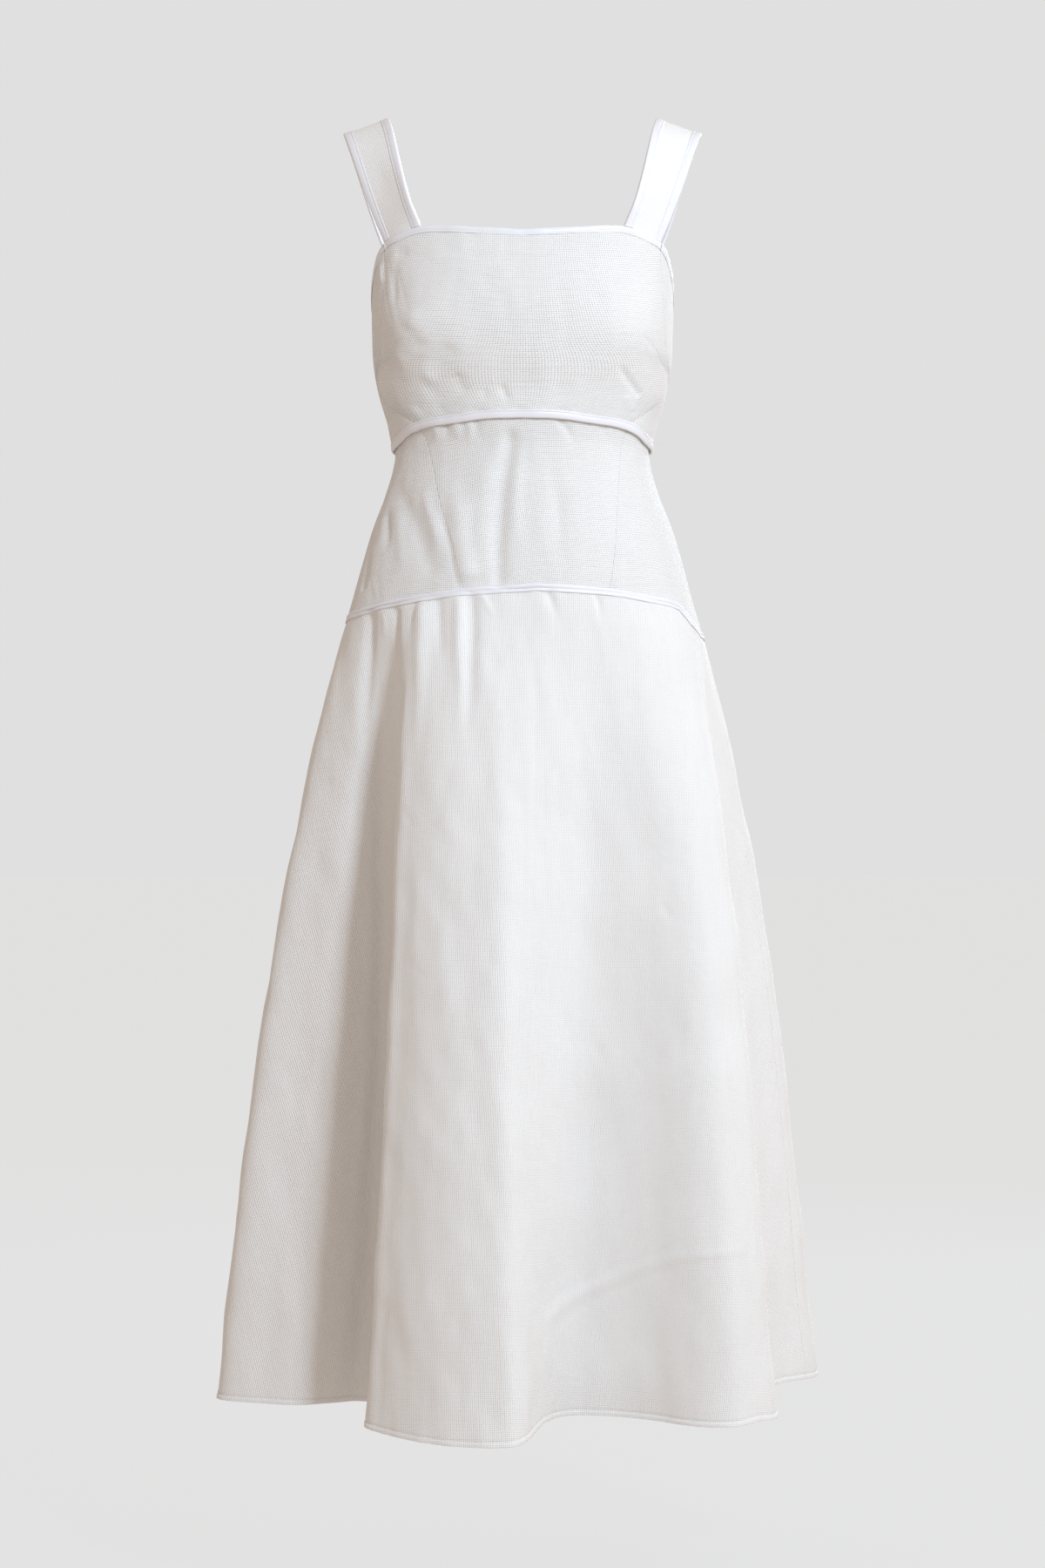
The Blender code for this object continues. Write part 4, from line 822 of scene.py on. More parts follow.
def tube(name, rings, material, nodes=()):
    """A closed skin through points [round the section, along it], with a cap at each end."""
    sides, count = rings.shape[:2]
    run = run_along(rings.mean(axis=0))
    girth = run_along(rings[:, count // 2])
    uv = np.stack(np.meshgrid(run, girth), axis=-1).reshape(-1, 2)
    points, faces = [rings.reshape(-1, 3)], [grid_faces(sides, count, wrap=True)]
    for column, order in ((0, 1), (count - 1, -1)):
        edge = (np.arange(sides) * count + column)[::order]
        centre = len(uv)
        points.append(rings[:, column].mean(axis=0)[None])
        uv = np.concatenate([uv, [[run[column], girth[-1] / 2]]])
        faces.append(np.stack([edge, np.roll(edge, -1), np.full(sides, centre)], axis=-1))
    return mesh_object(name, np.concatenate(points), faces, uv, material, nodes)


# ---------------------------------------------------------------- materials
class Finish:
    """A material and the nodes that it is built from."""

    def __init__(self, name, colour, roughness, **settings):
        self.material = bpy.data.materials.new(name)
        self.material.use_nodes = True
        self.tree = self.material.node_tree
        self.shader = self.tree.nodes["Principled BSDF"]
        self.shader.inputs["Base Color"].default_value = (*colour, 1.0)
        self.shader.inputs["Roughness"].default_value = roughness
        for socket, value in settings.items():
            self.shader.inputs[socket.replace("_", " ").title()].default_value = value

    def node(self, kind, inputs=(), **settings):
        made = self.tree.nodes.new(kind)
        for key, value in settings.items():
            setattr(made, key, value)
        for socket, value in dict(inputs).items():
            self.feed(made.inputs[socket], value)
        return made

    def feed(self, socket, value):
        if isinstance(value, bpy.types.NodeSocket):
            self.tree.links.new(value, socket)
        else:
            socket.default_value = value

    def math(self, operation, *values):
        made = self.node("ShaderNodeMath", enumerate(values), operation=operation)
        return made.outputs[0]

    def vector(self, operation, *values):
        made = self.node("ShaderNodeVectorMath", enumerate(values), operation=operation)
        return made.outputs[0]

    def place(self, scale=(1.0, 1.0), offset=(0.0, 0.0), wobble=0.0, wobble_scale=60.0):
        """The cut's coordinates in metres, times a scale, with an even wobble if asked for."""
        flat = self.node("ShaderNodeUVMap", uv_map="cut").outputs[0]
        if wobble:
            noise = self.node("ShaderNodeTexNoise", {"Vector": flat, "Scale": wobble_scale, "Detail": 1.0})
            middle = self.vector("SUBTRACT", noise.outputs["Color"], (0.5, 0.5, 0.5))
            flat = self.vector("ADD", flat, self.vector("MULTIPLY", middle, (wobble,) * 3))
        return self.vector("ADD", self.vector("MULTIPLY", flat, (*scale, 1.0)), (*offset, 0.0))

    def noise(self, vector, detail=2.0, scale=1.0):
        made = self.node("ShaderNodeTexNoise", {"Vector": vector, "Scale": scale, "Detail": detail})
        return made.outputs[0]

    def slanted(self, scale, distortion=0.0, detail=2.0):
        """Fine ridges that slant across the cut."""
        inputs = {"Vector": self.place(), "Scale": scale, "Distortion": distortion, "Detail": detail}
        return self.node("ShaderNodeTexWave", inputs, bands_direction="DIAGONAL").outputs[1]

    def tinted(self, factor, dark, light):
        mix = self.node("ShaderNodeMix", {0: factor, 6: (*dark, 1.0), 7: (*light, 1.0)}, data_type="RGBA")
        self.feed(self.shader.inputs["Base Color"], mix.outputs[2])

    def bumped(self, height, distance, strength=1.0):
        bump = self.node("ShaderNodeBump", {"Height": height, "Distance": distance, "Strength": strength})
        self.feed(self.shader.inputs["Normal"], bump.outputs[0])


WEAVE_PITCH = 0.0019  # from one pair of yarns to the next; the weave repeats after two
WEAVE_DEPTH = 0.00042
SLUB_LENGTH = 0.030
SLUB_SHARE, HOLE_SHARE, FUZZ_SHARE = 0.55, 0.9, 0.25  # of the weave's height
WEAVE_WOBBLE = 0.0007  # how far yarns wander, each way


def cotton(name, depth, hole_shade_and_slub_dark, slubs=(0.7, 1.3), ribs=(1.0, 1.0)):
    """White cotton in a basket weave, with slubs along its yarns and small holes between its pairs. slubs
    and ribs say how uneven and how round its warp, down the cut, and its weft are. Its colour darkens along
    thin slubs, and in the holes as painted shade; the darkest colour is where the two meet."""
    f = Finish(name, (0.86, 0.85, 0.835), 0.88, sheen_weight=0.12, sheen_roughness=0.5)
    f.shader.inputs["Specular IOR Level"].default_value = 0.25
    place = f.place((1 / WEAVE_PITCH,) * 2, wobble=WEAVE_WOBBLE, wobble_scale=55.0)
    axes = f.node("ShaderNodeSeparateXYZ", {0: place}).outputs
    full = [f.math("ABSOLUTE", f.math("SINE", f.math("MULTIPLY", axis, math.pi))) for axis in axes[:2]]
    low = [f.math("SUBTRACT", 1.0, hump) for hump in full]
    hole = f.math("POWER", f.math("MULTIPLY", *low), 1.3)
    humps = [f.math("MULTIPLY_ADD", dip, -rib, 1.0) for dip, rib in zip(low, ribs)]
    squares = {"Vector": place, "Color1": (1, 1, 1, 1), "Color2": (0, 0, 0, 1), "Scale": 1.0}
    over = f.node("ShaderNodeTexChecker", squares)
    warp, weft = (
        f.math("MULTIPLY", f.math("POWER", hump, 0.5), f.math("MULTIPLY_ADD", other, 0.45, 0.55))
        for hump, other in (humps, humps[::-1])
    )
    woven = f.node("ShaderNodeMix", {0: over.outputs[0], 2: weft, 3: warp}, data_type="FLOAT").outputs[0]
    fine, coarse = 1.1 / WEAVE_PITCH, 1 / SLUB_LENGTH
    slub_warp = f.noise(f.place((fine, coarse)))
    slub_weft = f.noise(f.place((coarse, fine), (7.3, 2.1)))
    slub = f.math("MULTIPLY_ADD", slub_weft, slubs[1], f.math("MULTIPLY", slub_warp, slubs[0]))
    fuzz = f.noise(f.place((2600.0, 2600.0)))
    height = f.math("MULTIPLY_ADD", slub, SLUB_SHARE, woven)
    height = f.math("MULTIPLY_ADD", hole, -HOLE_SHARE, height)
    height = f.math("MULTIPLY_ADD", fuzz, FUZZ_SHARE, height)
    f.bumped(height, depth, 0.85)
    # painted shade: clear falls in the holes between yarn pairs and darkens the colour there, as shade would
    clear = f.math("MULTIPLY_ADD", hole, -0.75, 1.0)
    even = f.math("MULTIPLY_ADD", slub, 0.28, 0.72)
    f.tinted(f.math("MULTIPLY", clear, even), hole_shade_and_slub_dark, (0.89, 0.885, 0.88))
    return f.material


def satin(name):
    """Smooth white satin with the fine slant of its weave."""
    f = Finish(name, (0.83, 0.83, 0.875), 0.34, sheen_weight=0.2, sheen_roughness=0.3)
    f.shader.inputs["Specular IOR Level"].default_value = 0.55
    slant = f.slanted(600.0, 1.2, 1.0)
    streak = f.noise(f.place((60.0, 900.0)))
    f.bumped(f.math("MULTIPLY_ADD", streak, 0.5, slant), 0.00006, 0.6)
    f.tinted(streak, (0.80, 0.80, 0.85), (0.86, 0.86, 0.895))
    return f.material


def thread(name):
    """Twisted sewing thread, whose colour is darker in the grooves of its twist as painted shade."""
    f = Finish(name, (0.84, 0.84, 0.86), 0.5)
    twist = f.slanted(900.0)
    f.bumped(twist, 0.00005, 0.8)
    # painted shade: the twist that bumps the thread also darkens its colour in the grooves
    f.tinted(twist, (0.74, 0.74, 0.76), (0.86, 0.86, 0.88))
    return f.material


def zip_tape(name):
    """Twilled tape, with ridges that slant across it, and painted shade that darkens its colour between them.
    """
    f = Finish(name, (0.8, 0.8, 0.8), 0.75)
    twill = f.slanted(400.0, 0.6)
    f.bumped(twill, 0.0001, 0.8)
    # painted shade: the twill that bumps the tape also darkens its colour in the grooves between its ridges
    f.tinted(twill, (0.72, 0.72, 0.72), (0.83, 0.83, 0.83))
    return f.material


def enamel(name):
    """White enamel over cast metal, slightly uneven in height, gloss and colour."""
    f = Finish(name, (0.82, 0.82, 0.82), 0.28, coat_weight=0.4)
    spot = f.node("ShaderNodeTexCoord").outputs["Object"]
    cast = f.noise(spot, 3.0, 900.0)
    f.feed(f.shader.inputs["Roughness"], f.math("MULTIPLY_ADD", cast, 0.2, 0.2))
    f.bumped(cast, 0.00005, 0.5)
    f.tinted(cast, (0.74, 0.74, 0.74), (0.86, 0.86, 0.86))
    return f.material


# The third colour of each is its darkest: the painted shade in the weave's holes over its thinnest slubs.
COTTON = cotton("white_cotton", WEAVE_DEPTH * 1.2, (0.72, 0.705, 0.69))
SKIRT_COTTON = cotton("white_skirt_cotton", WEAVE_DEPTH, (0.73, 0.72, 0.71), (1.5, 0.5), (1.0, 0.45))
STRAP_COTTON = cotton("white_strap_cotton", WEAVE_DEPTH * 0.5, (0.81, 0.80, 0.79))  # pressed flatter
SATIN = satin("white_satin_binding")
THREAD = thread("white_thread")
ZIP_TAPE = zip_tape("white_zip_tape")
ENAMEL = enamel("white_zip_enamel")

# ---------------------------------------------------------------- panels
SEAM_ROLL, SEAM_ROLL_WIDTH = 0.00016, 0.0012
PUCKER_DEPTH, PUCKER_REACH, PUCKER_LENGTH = 0.00050, 0.0055, 0.0120
BOUND_PUCKERS = 0.8  # how far apart puckers are at a binding, against a seam
DART_SEED, TOP_SEED, BOTTOM_SEED = 40, 60, 80
EDGE_CLEAR = 0.009  # a bound edge is a single layer this far in
HEM_STITCH = 0.0048  # height of the hem's stitches above its edge
HEM_BULGE, HEM_ROUND = 0.0007, 0.0014
HEM_GROOVE, HEM_GROOVE_WIDTH = 0.0006, 0.0008


def puckered(gap, run, seed, spacing=PUCKER_LENGTH):
    return PUCKER_DEPTH * ripple(run, spacing, seed) * bell(gap, PUCKER_REACH)


def seam_relief(gap, run, seed):
    """The roll of a panel into its seam, and the puckers beside it."""
    return -SEAM_ROLL * bell(gap, SEAM_ROLL_WIDTH) - puckered(gap, run, seed)


def bound_relief(gap, run, width, seed):
    """The puckers of a panel beside the binding that covers its edge."""
    return -puckered(np.maximum(gap - width, 0.0), run, seed, PUCKER_LENGTH * BOUND_PUCKERS)


def hem_relief(height):
    """The turned hem, which stands proud below its stitches and is drawn in at them."""
    groove = HEM_GROOVE * bell(height - HEM_STITCH, HEM_GROOVE_WIDTH)
    return HEM_BULGE * rounded_step((HEM_STITCH - height) / HEM_ROUND) - groove


def dart_relief(points):
    flat = points.reshape(-1, 3)
    out = np.zeros(len(flat))
    for line in DART_LINES:
        gap, where = nearest_on(line, flat)
        run = where * length(np.diff(line, axis=0)).sum()
        groove = DART_DEPTH * bell(gap, DART_WIDTH) * fade(where, 0.0, 0.15)
        out -= groove + puckered(gap, run, DART_SEED) * fade(where, 0.0, 0.3)
    return out.reshape(points.shape[:-1])


# From one point of a panel's grid to the next, down and across.
PANEL_STEP = {"bodice": (0.0017, 0.0017), "midriff": (0.0018, 0.0018), "skirt": (0.0042, 0.0030)}


def cloth_panel(layer, node, seams, seeds, grain):
    """A panel of a layer between two seams. seeds number the seams, so that both sides of one pucker alike,
    and grain is where across it its straight grain runs."""
    part, surface, edges, trims = layer.part, layer.surface, layer.edges, layer.trims
    angle, z = panel(surface, seams, edges, PANEL_STEP[part], 1.0 if part == "skirt" else 0.5)
    base = surface(angle, z)
    left, right, top, bottom = distances(base)
    out = relief(part, angle, z, base)
    out += seam_relief(left, top, seeds[0]) + seam_relief(right, top, seeds[1])
    out += bound_relief(top, left, trims[0], TOP_SEED + seeds[0])
    if trims[1]:
        out += bound_relief(bottom, left, trims[1], BOTTOM_SEED + seeds[0])
    else:
        out += hem_relief(bottom)
    if node == "bodice_front":
        out += dart_relief(base)
    outer = base + normal(surface, angle, z) * out[..., None]
    flat = flat_cut(base, int(grain * (base.shape[1] - 1)))

    turned = np.minimum(left, right) < ALLOWANCE
    if part == "midriff":
        turned &= top > EDGE_CLEAR
    elif part == "bodice":
        turned &= (top > EDGE_CLEAR) & (bottom > EDGE_CLEAR)
    else:
        turned |= bottom < HEM_DEPTH
    thickness = np.where(turned, TURNING, CLOTH)
    cloth = SKIRT_COTTON if part == "skirt" else COTTON
    obj = shell(node + "_cloth", outer, thickness, flat, cloth, [node])
    size = np.ptp(flat.reshape(-1, 2), axis=0)
    return obj, (float(size[0]), float(size[1])), flat_area(flat)


BACK_TURN = 180.0


def midriff_top(angle):
    return underbust(angle) + MIDRIFF_TUCK


def above_yoke(angle):
    return yoke(angle) + SEAM_GAP / 2


def below_yoke(angle):
    return yoke(angle) - SEAM_GAP / 2


def hem_height(angle):
    return hem(angle)[..., 2]


SKIRT_SEAM_RIGHT, SKIRT_SEAM_LEFT = -88.0, 84.0


def skirt_seam(angle):
    at = np.array(angle)
    return straight_down(angle, float(yoke(at)), float(hem_height(at)))


# Each layer's panels lie between its seams, from the centre back round by the wearer's right.
PIECES = ("back_right", "side_right", "front", "side_left", "back_left")
BACKS = straight_down(-BACK_TURN), straight_down(BACK_TURN)
BODICE_SEAMS = (mirrored(BODICE_BACK_SEAM), mirrored(BODICE_FRONT_SEAM), BODICE_FRONT_SEAM, BODICE_BACK_SEAM)
MIDRIFF_SEAMS = (
    mirrored(MIDRIFF_SIDE_SEAM), MIDRIFF_FRONT_SEAM_RIGHT, MIDRIFF_FRONT_SEAM_LEFT, MIDRIFF_SIDE_SEAM
)
SKIRT_SEAMS = [skirt_seam(angle) for angle in (-BACK_TURN, SKIRT_SEAM_RIGHT, SKIRT_SEAM_LEFT, BACK_TURN)]

# A layer's edges are its top and bottom; trims are how far the bindings there cover it, and 0 is a hem.
Layer = namedtuple("Layer", "part surface pieces seams edges trims")
LAYERS = [
    Layer("bodice", bodice, PIECES, (BACKS[0], *BODICE_SEAMS, BACKS[1]),
          (top_edge, underbust), (NECK_TRIM_WIDTH, UNDERBUST_TRIM_WIDTH)),
    Layer("midriff", torso, PIECES, (BACKS[0], *MIDRIFF_SEAMS, BACKS[1]),
          (midriff_top, above_yoke), (MIDRIFF_TUCK, YOKE_TRIM_WIDTH / 2)),
    Layer("skirt", skirt, PIECES[::2], SKIRT_SEAMS,
          (below_yoke, hem_height), (YOKE_TRIM_WIDTH / 2, 0.0)),
]


def make_panels():
    """Every panel of the bodice, midriff and skirt, with its flat cut."""
    made = []
    for number, layer in enumerate(LAYERS):
        last = len(layer.pieces) - 1
        for i, piece in enumerate(layer.pieces):
            seeds = (10 * number + i, 10 * number + (i + 1) % (last + 1))
            grain = {0: 0.0, last: 1.0}.get(i, 0.5)
            node = layer.part + "_" + piece
            made.append((layer.part, *cloth_panel(layer, node, layer.seams[i : i + 2], seeds, grain)))
    return made


# ---------------------------------------------------------------- bindings
def mm(*pairs):
    return [(a / 1000.0, b / 1000.0) for a, b in pairs]


def wrapped_section(width, cloth, inside=5.0, proud=1.0):
    """A binding's section, in mm: in from the edge that it wraps, and out from the cloth. Its stitches lie
    in the groove near its inner side. proud is how far it stands out, against the strap's."""
    w, back = width * 1000.0, -cloth * 1000.0
    face = (
        (w, 0.08), (w, 0.34), (w - 0.35, 0.55), (w - 1.2, 0.60), (w - 1.75, 0.48), (w - 2.05, 0.26),
        (w - 2.35, 0.48), (w - 2.9, 0.68), (w / 2, 0.84), (0.9, 0.80), (0.1, 0.62), (-0.45, 0.15),
    )
    return mm(
        *((across, out * proud) for across, out in face),
        (-0.62, -0.35), (-0.60, back * 0.6), (-0.45, back - 0.1), (0.1, back - 0.42), (1.0, back - 0.50),
        (inside - 0.4, back - 0.45), (inside, back - 0.30), (inside, back - 0.06), (0.4, back - 0.05),
        (-0.02, back + 0.2), (-0.02, -0.2), (0.4, 0.04),
    )


def flat_section(width):
    """The drop-waist band's section, in mm: across its seam, upwards, and out from the cloth."""
    h = width * 500.0
    return mm(
        (h, 0.10), (h, 0.40), (h - 0.35, 0.66), (h - 1.3, 0.80), (0.45, 0.74), (0.12, 0.42), (-0.12, 0.42),
        (-0.45, 0.74), (1.3 - h, 0.80), (0.35 - h, 0.66), (-h, 0.40), (-h, 0.10), (0.0, 0.10),
    )


BAND_STEP = 0.0024
EDGE_SAMPLES = 1500
TUG, TUG_LENGTH = 0.00010, 0.0045  # how far a binding's stitches pull it about, and how often


def edge_line(edge, start, end, surface):
    """Places along an edge from one angle to another, evenly spaced."""
    fine = np.linspace(start, end, EDGE_SAMPLES)
    run = run_along(surface(fine, edge(fine)))
    angles = np.interp(np.linspace(0, run[-1], int(run[-1] / BAND_STEP) + 1), run, fine)
    return np.stack([angles, edge(angles)], axis=-1)


def lifted(part, places, out):
    """Points over a part with its creases: places on its surface, moved out."""
    surface, angle, z = SURFACES[part], places[:, 0], places[:, 1]
    base = surface(angle, z)
    return base + normal(surface, angle, z) * (relief(part, angle, z, base) + out)[:, None]


def band_rings(line, section, inwards, seed):
    """Rings of points of a binding along an edge of the bodice."""
    run = run_along(bodice(line[:, 0], line[:, 1]))
    tug = TUG * (ripple(run, TUG_LENGTH, seed) - 0.5)
    rings = []
    for inside, out in section:
        places = beside(bodice, line, inwards * inside)
        rings.append(lifted("bodice", places, out + tug * (out > 0)))
    return np.array(rings)


NECK_PROUD = 0.6
TOP_BAND_SEED, UNDERBUST_SEED = 200, 210
BAND_END = 0.12  # degrees short of the centre back
TOP_SPLITS = (-180.0, -118.0, -62.0, 62.0, 118.0, 180.0)
TOP_BANDS = (
    "neck_binding_back_right",
    "armhole_binding_right",
    "neck_binding_front",
    "armhole_binding_left",
    "neck_binding_back_left",
)


def top_lines():
    """The five stretches of the top edge, from the centre back round by the wearer's right."""
    return [
        edge_line(top_edge, start + BAND_END, end - BAND_END, bodice)
        for start, end in zip(TOP_SPLITS, TOP_SPLITS[1:])
    ]


def binding(node, rings):
    tube(node + "_satin", rings, SATIN, [node])


def make_bindings():
    neck = wrapped_section(NECK_TRIM_WIDTH, CLOTH, 4.0, NECK_PROUD)
    for i, line in enumerate(top_lines()):
        binding(TOP_BANDS[i], band_rings(line, neck, -1, TOP_BAND_SEED + i))
    line = edge_line(underbust, -180.0 + BAND_END, 180.0 - BAND_END, bodice)
    section = wrapped_section(UNDERBUST_TRIM_WIDTH, CLOTH, 4.0)
    binding("underbust_binding", band_rings(line, section, 1, UNDERBUST_SEED))

    line = edge_line(yoke, -180.0 + BAND_END, 180.0 - BAND_END, torso)
    rings = []
    for up, out in flat_section(YOKE_TRIM_WIDTH):
        rings.append(lifted("midriff" if up > 0 else "skirt", beside(torso, line, up), out))
    binding("yoke_binding", np.array(rings))


# ---------------------------------------------------------------- straps
# Marks count the points along a strap: behind the bodice's edge, on it, STRAP's own, and the same two again.
STRAP_LAST = len(STRAP) + 3
BINDING_START = 1.09  # the mark where a strap's bindings start, and as far from its other end


def strap_angle(across):
    return STRAP_INNER + (STRAP_OUTER - STRAP_INNER) * (across + 1) / 2


def strap_end(angle, distance_down):
    angle = np.array([angle])
    z = top_edge(angle) - distance_down
    return (bodice(angle, z) - normal(bodice, angle, z) * (WALL + LAYER_GAP))[0]


def strap_thread(across):
    slope = math.radians(STRAP_SLOPE)
    middle = []
    for row in STRAP:
        turn = math.radians(row.turn)
        level = np.array([math.cos(turn), math.sin(turn), 0.0]) * math.cos(slope)
        width_axis = level - np.array([0.0, 0.0, math.sin(slope)])
        middle.append(np.array([row.x, row.y, row.z]) + width_axis * (across * STRAP_WIDTH / 2))
    front = strap_angle(across)
    start = [strap_end(front, STRAP_TUCK), strap_end(front, 0.0)]
    end = [strap_end(180.0 - front, 0.0), strap_end(180.0 - front, STRAP_TUCK)]
    return np.array(start + middle + end)


def strap_lines(threads, marks):
    """Points of lengthwise threads of the left strap, [thread, mark]."""
    knots = np.arange(STRAP_LAST + 1)
    return np.array(
        [[through(knots, values, marks) for values in strap_thread(across).T] for across in threads]
    ).transpose(0, 2, 1)


def strap_outward(marks):
    inner, outer = strap_lines((-1.0, 1.0), marks)
    run = np.gradient(inner + outer, axis=0)
    return unit(np.cross(outer - inner, run))


STRAP_DIMPLES = [  # share across, mark, size across, size along, depth
    (0.1, 2.9, 0.5, 0.45, 0.0011),
    (-0.3, 6.9, 0.5, 0.50, 0.0009),
]


def strap_relief(across, marks):
    out = 0.0
    for middle, mark, wide, long, depth in STRAP_DIMPLES:
        out = out - depth * np.exp(-(((across - middle) / wide) ** 2) - ((marks - mark) / long) ** 2)
    return out


def flipped(points):
    return points * (-1.0, 1.0, 1.0)


SIDES = (("left", lambda points: points), ("right", flipped))
STRAP_STEP = 0.0022
STRAP_ROWS = 181
STRAP_BAND_LENGTH = 0.24
STRAP_SHARE = 0.4  # of the broad unevenness that a strap shows


def strap_waves(points):
    return STRAP_SHARE * waved(points, BROAD_WAVES)


def make_straps():
    """Both straps and their bindings. Returns each strap with its flat size."""
    made = []
    marks = np.linspace(STRAP_LAST, 0.0, STRAP_ROWS)
    across = spaced(STRAP_WIDTH, STRAP_STEP) / STRAP_WIDTH * 2 - 1
    lines = strap_lines(across, marks).transpose(1, 0, 2)
    away = -strap_outward(marks)[:, None]
    out = strap_relief(across[None, :], marks[:, None])
    run = run_along(lines[:, len(across) // 2])
    outer = lines + away * out[..., None] + away * strap_waves(lines)[..., None]
    flat = np.stack(np.meshgrid(across * STRAP_WIDTH / 2, -run), axis=-1)
    thickness = np.full(outer.shape[:2], STRAP_CLOTH)

    count = int(STRAP_BAND_LENGTH / BAND_STEP)
    edge_marks = np.linspace(STRAP_LAST - BINDING_START, BINDING_START, count)
    for side, turn in SIDES:
        node, points, cut = "strap_" + side, turn(outer), flat
        if side == "right":
            points, cut = points[:, ::-1], flat[:, ::-1] * (-1, 1)
        strap = shell(node + "_cloth", points, thickness, cut, STRAP_COTTON, [node])
        made.append((strap, (STRAP_WIDTH, float(run[-1]))))
        for edge, sign in (("inner", -1), ("outer", 1)):
            rings = []
            for inside, lift in wrapped_section(STRAP_TRIM_WIDTH, STRAP_CLOTH, 5.0):
                at = sign * (1 - 2 * inside / STRAP_WIDTH)
                line = strap_lines([at], edge_marks)[0]
                dimple = strap_relief(at, edge_marks)
                rings.append(line - strap_outward(edge_marks) * (dimple + lift + strap_waves(line))[:, None])
            binding("strap_binding_" + edge + "_" + side, turn(np.array(rings)))
    return made


# ---------------------------------------------------------------- stitches
STITCH_LENGTH, STITCH_SPACE, STITCH_RADIUS = 0.0026, 0.0009, 0.00019
STITCH_SIDES = 5
# A stitch's rings: how far along it they are, and their size and lift as shares of its radius.
STITCH_SHAPE = ((0.0, 0.5, -0.8), (0.18, 1.0, 0.2), (0.5, 1.0, 0.5), (0.82, 1.0, 0.2), (1.0, 0.5, -0.8))


def stitch_rings(points, outs):
    """Rings of points of every stitch on a line, [stitch, ring, side]."""
    run = run_along(points)
    starts = np.arange(STITCH_SPACE, run[-1] - STITCH_LENGTH, STITCH_LENGTH + STITCH_SPACE)
    shares, sizes, lifts = np.array(STITCH_SHAPE).T
    marks = starts[:, None] + shares * STITCH_LENGTH
    middle = np.stack([np.interp(marks, run, points[:, k]) for k in range(3)], axis=-1)
    out = unit(np.stack([np.interp(marks, run, outs[:, k]) for k in range(3)], axis=-1))
    along_it = unit(np.gradient(middle, axis=1))
    aside = unit(np.cross(along_it, out))
    turns = np.linspace(0, 2 * math.pi, STITCH_SIDES, endpoint=False)
    middle = middle + out * (STITCH_RADIUS * lifts)[:, None]
    ring = np.cos(turns)[:, None] * aside[..., None, :] + np.sin(turns)[:, None] * out[..., None, :]
    return middle[..., None, :] + ring * (STITCH_RADIUS * sizes)[:, None, None]


def stitch_line(name, lines):
    """All the stitches of one kind, as one piece, from lines of (points, outward directions)."""
    rings = np.concatenate([stitch_rings(*line) for line in lines])
    count, steps, sides = rings.shape[:3]
    index = np.arange(count * steps * sides).reshape(count, steps, sides)
    after = np.roll(index, -1, axis=2)
    walls = np.stack([index[:, :-1], after[:, :-1], after[:, 1:], index[:, 1:]], axis=-1).reshape(-1, 4)
    caps = np.concatenate([index[:, 0, ::-1], index[:, -1]])
    uv = np.zeros((index.size, 2))
    uv[:, 0] = (index.ravel() // sides) * STITCH_LENGTH / steps
    uv[:, 1] = (index.ravel() % sides) * STITCH_RADIUS
    mesh_object(name, rings.reshape(-1, 3), [walls, caps], uv, THREAD)


def stitches_on(part, line, aside, out):
    surface = SURFACES[part]
    places = beside(surface, line, aside) if aside else line
    return lifted(part, places, out), normal(surface, places[:, 0], places[:, 1])


GROOVE = 0.00205  # from a binding's inner side to its stitches
GROOVE_LEVEL, YOKE_LEVEL, HEM_LEVEL = 0.00036, 0.0005, 0.0002  # of stitches above their cloth
STITCH_END = 0.5  # degrees short of the centre back
STRAP_STITCH_MARKS = 120


def make_stitches():
    aside, level = GROOVE - NECK_TRIM_WIDTH, GROOVE_LEVEL * NECK_PROUD
    stitch_line("top_edge_stitches", [stitches_on("bodice", line, aside, level) for line in top_lines()])
    for name, part, edge, surface, aside, level in (
        ("underbust", "bodice", underbust, bodice, UNDERBUST_TRIM_WIDTH - GROOVE, GROOVE_LEVEL),
        ("yoke", "midriff", yoke, torso, 0.0, YOKE_LEVEL),
        ("hem", "skirt", hem_height, skirt, HEM_STITCH, HEM_LEVEL - HEM_GROOVE),
    ):
        line = edge_line(edge, STITCH_END - 180.0, 180.0 - STITCH_END, surface)
        stitch_line(name + "_stitches", [stitches_on(part, line, aside, level)])
    marks = np.linspace(STRAP_LAST - BINDING_START, BINDING_START, STRAP_STITCH_MARKS)
    for side, turn in SIDES:
        lines = []
        for sign in (-1, 1):
            at = sign * (1 - 2 * (STRAP_TRIM_WIDTH - GROOVE) / STRAP_WIDTH)
            points, out = strap_lines([at], marks)[0], -strap_outward(marks)
            lift = strap_relief(at, marks) + strap_waves(points) + GROOVE_LEVEL
            lines.append((turn(points + out * lift[:, None]), turn(out)))
        stitch_line("strap_stitches_" + side, lines)


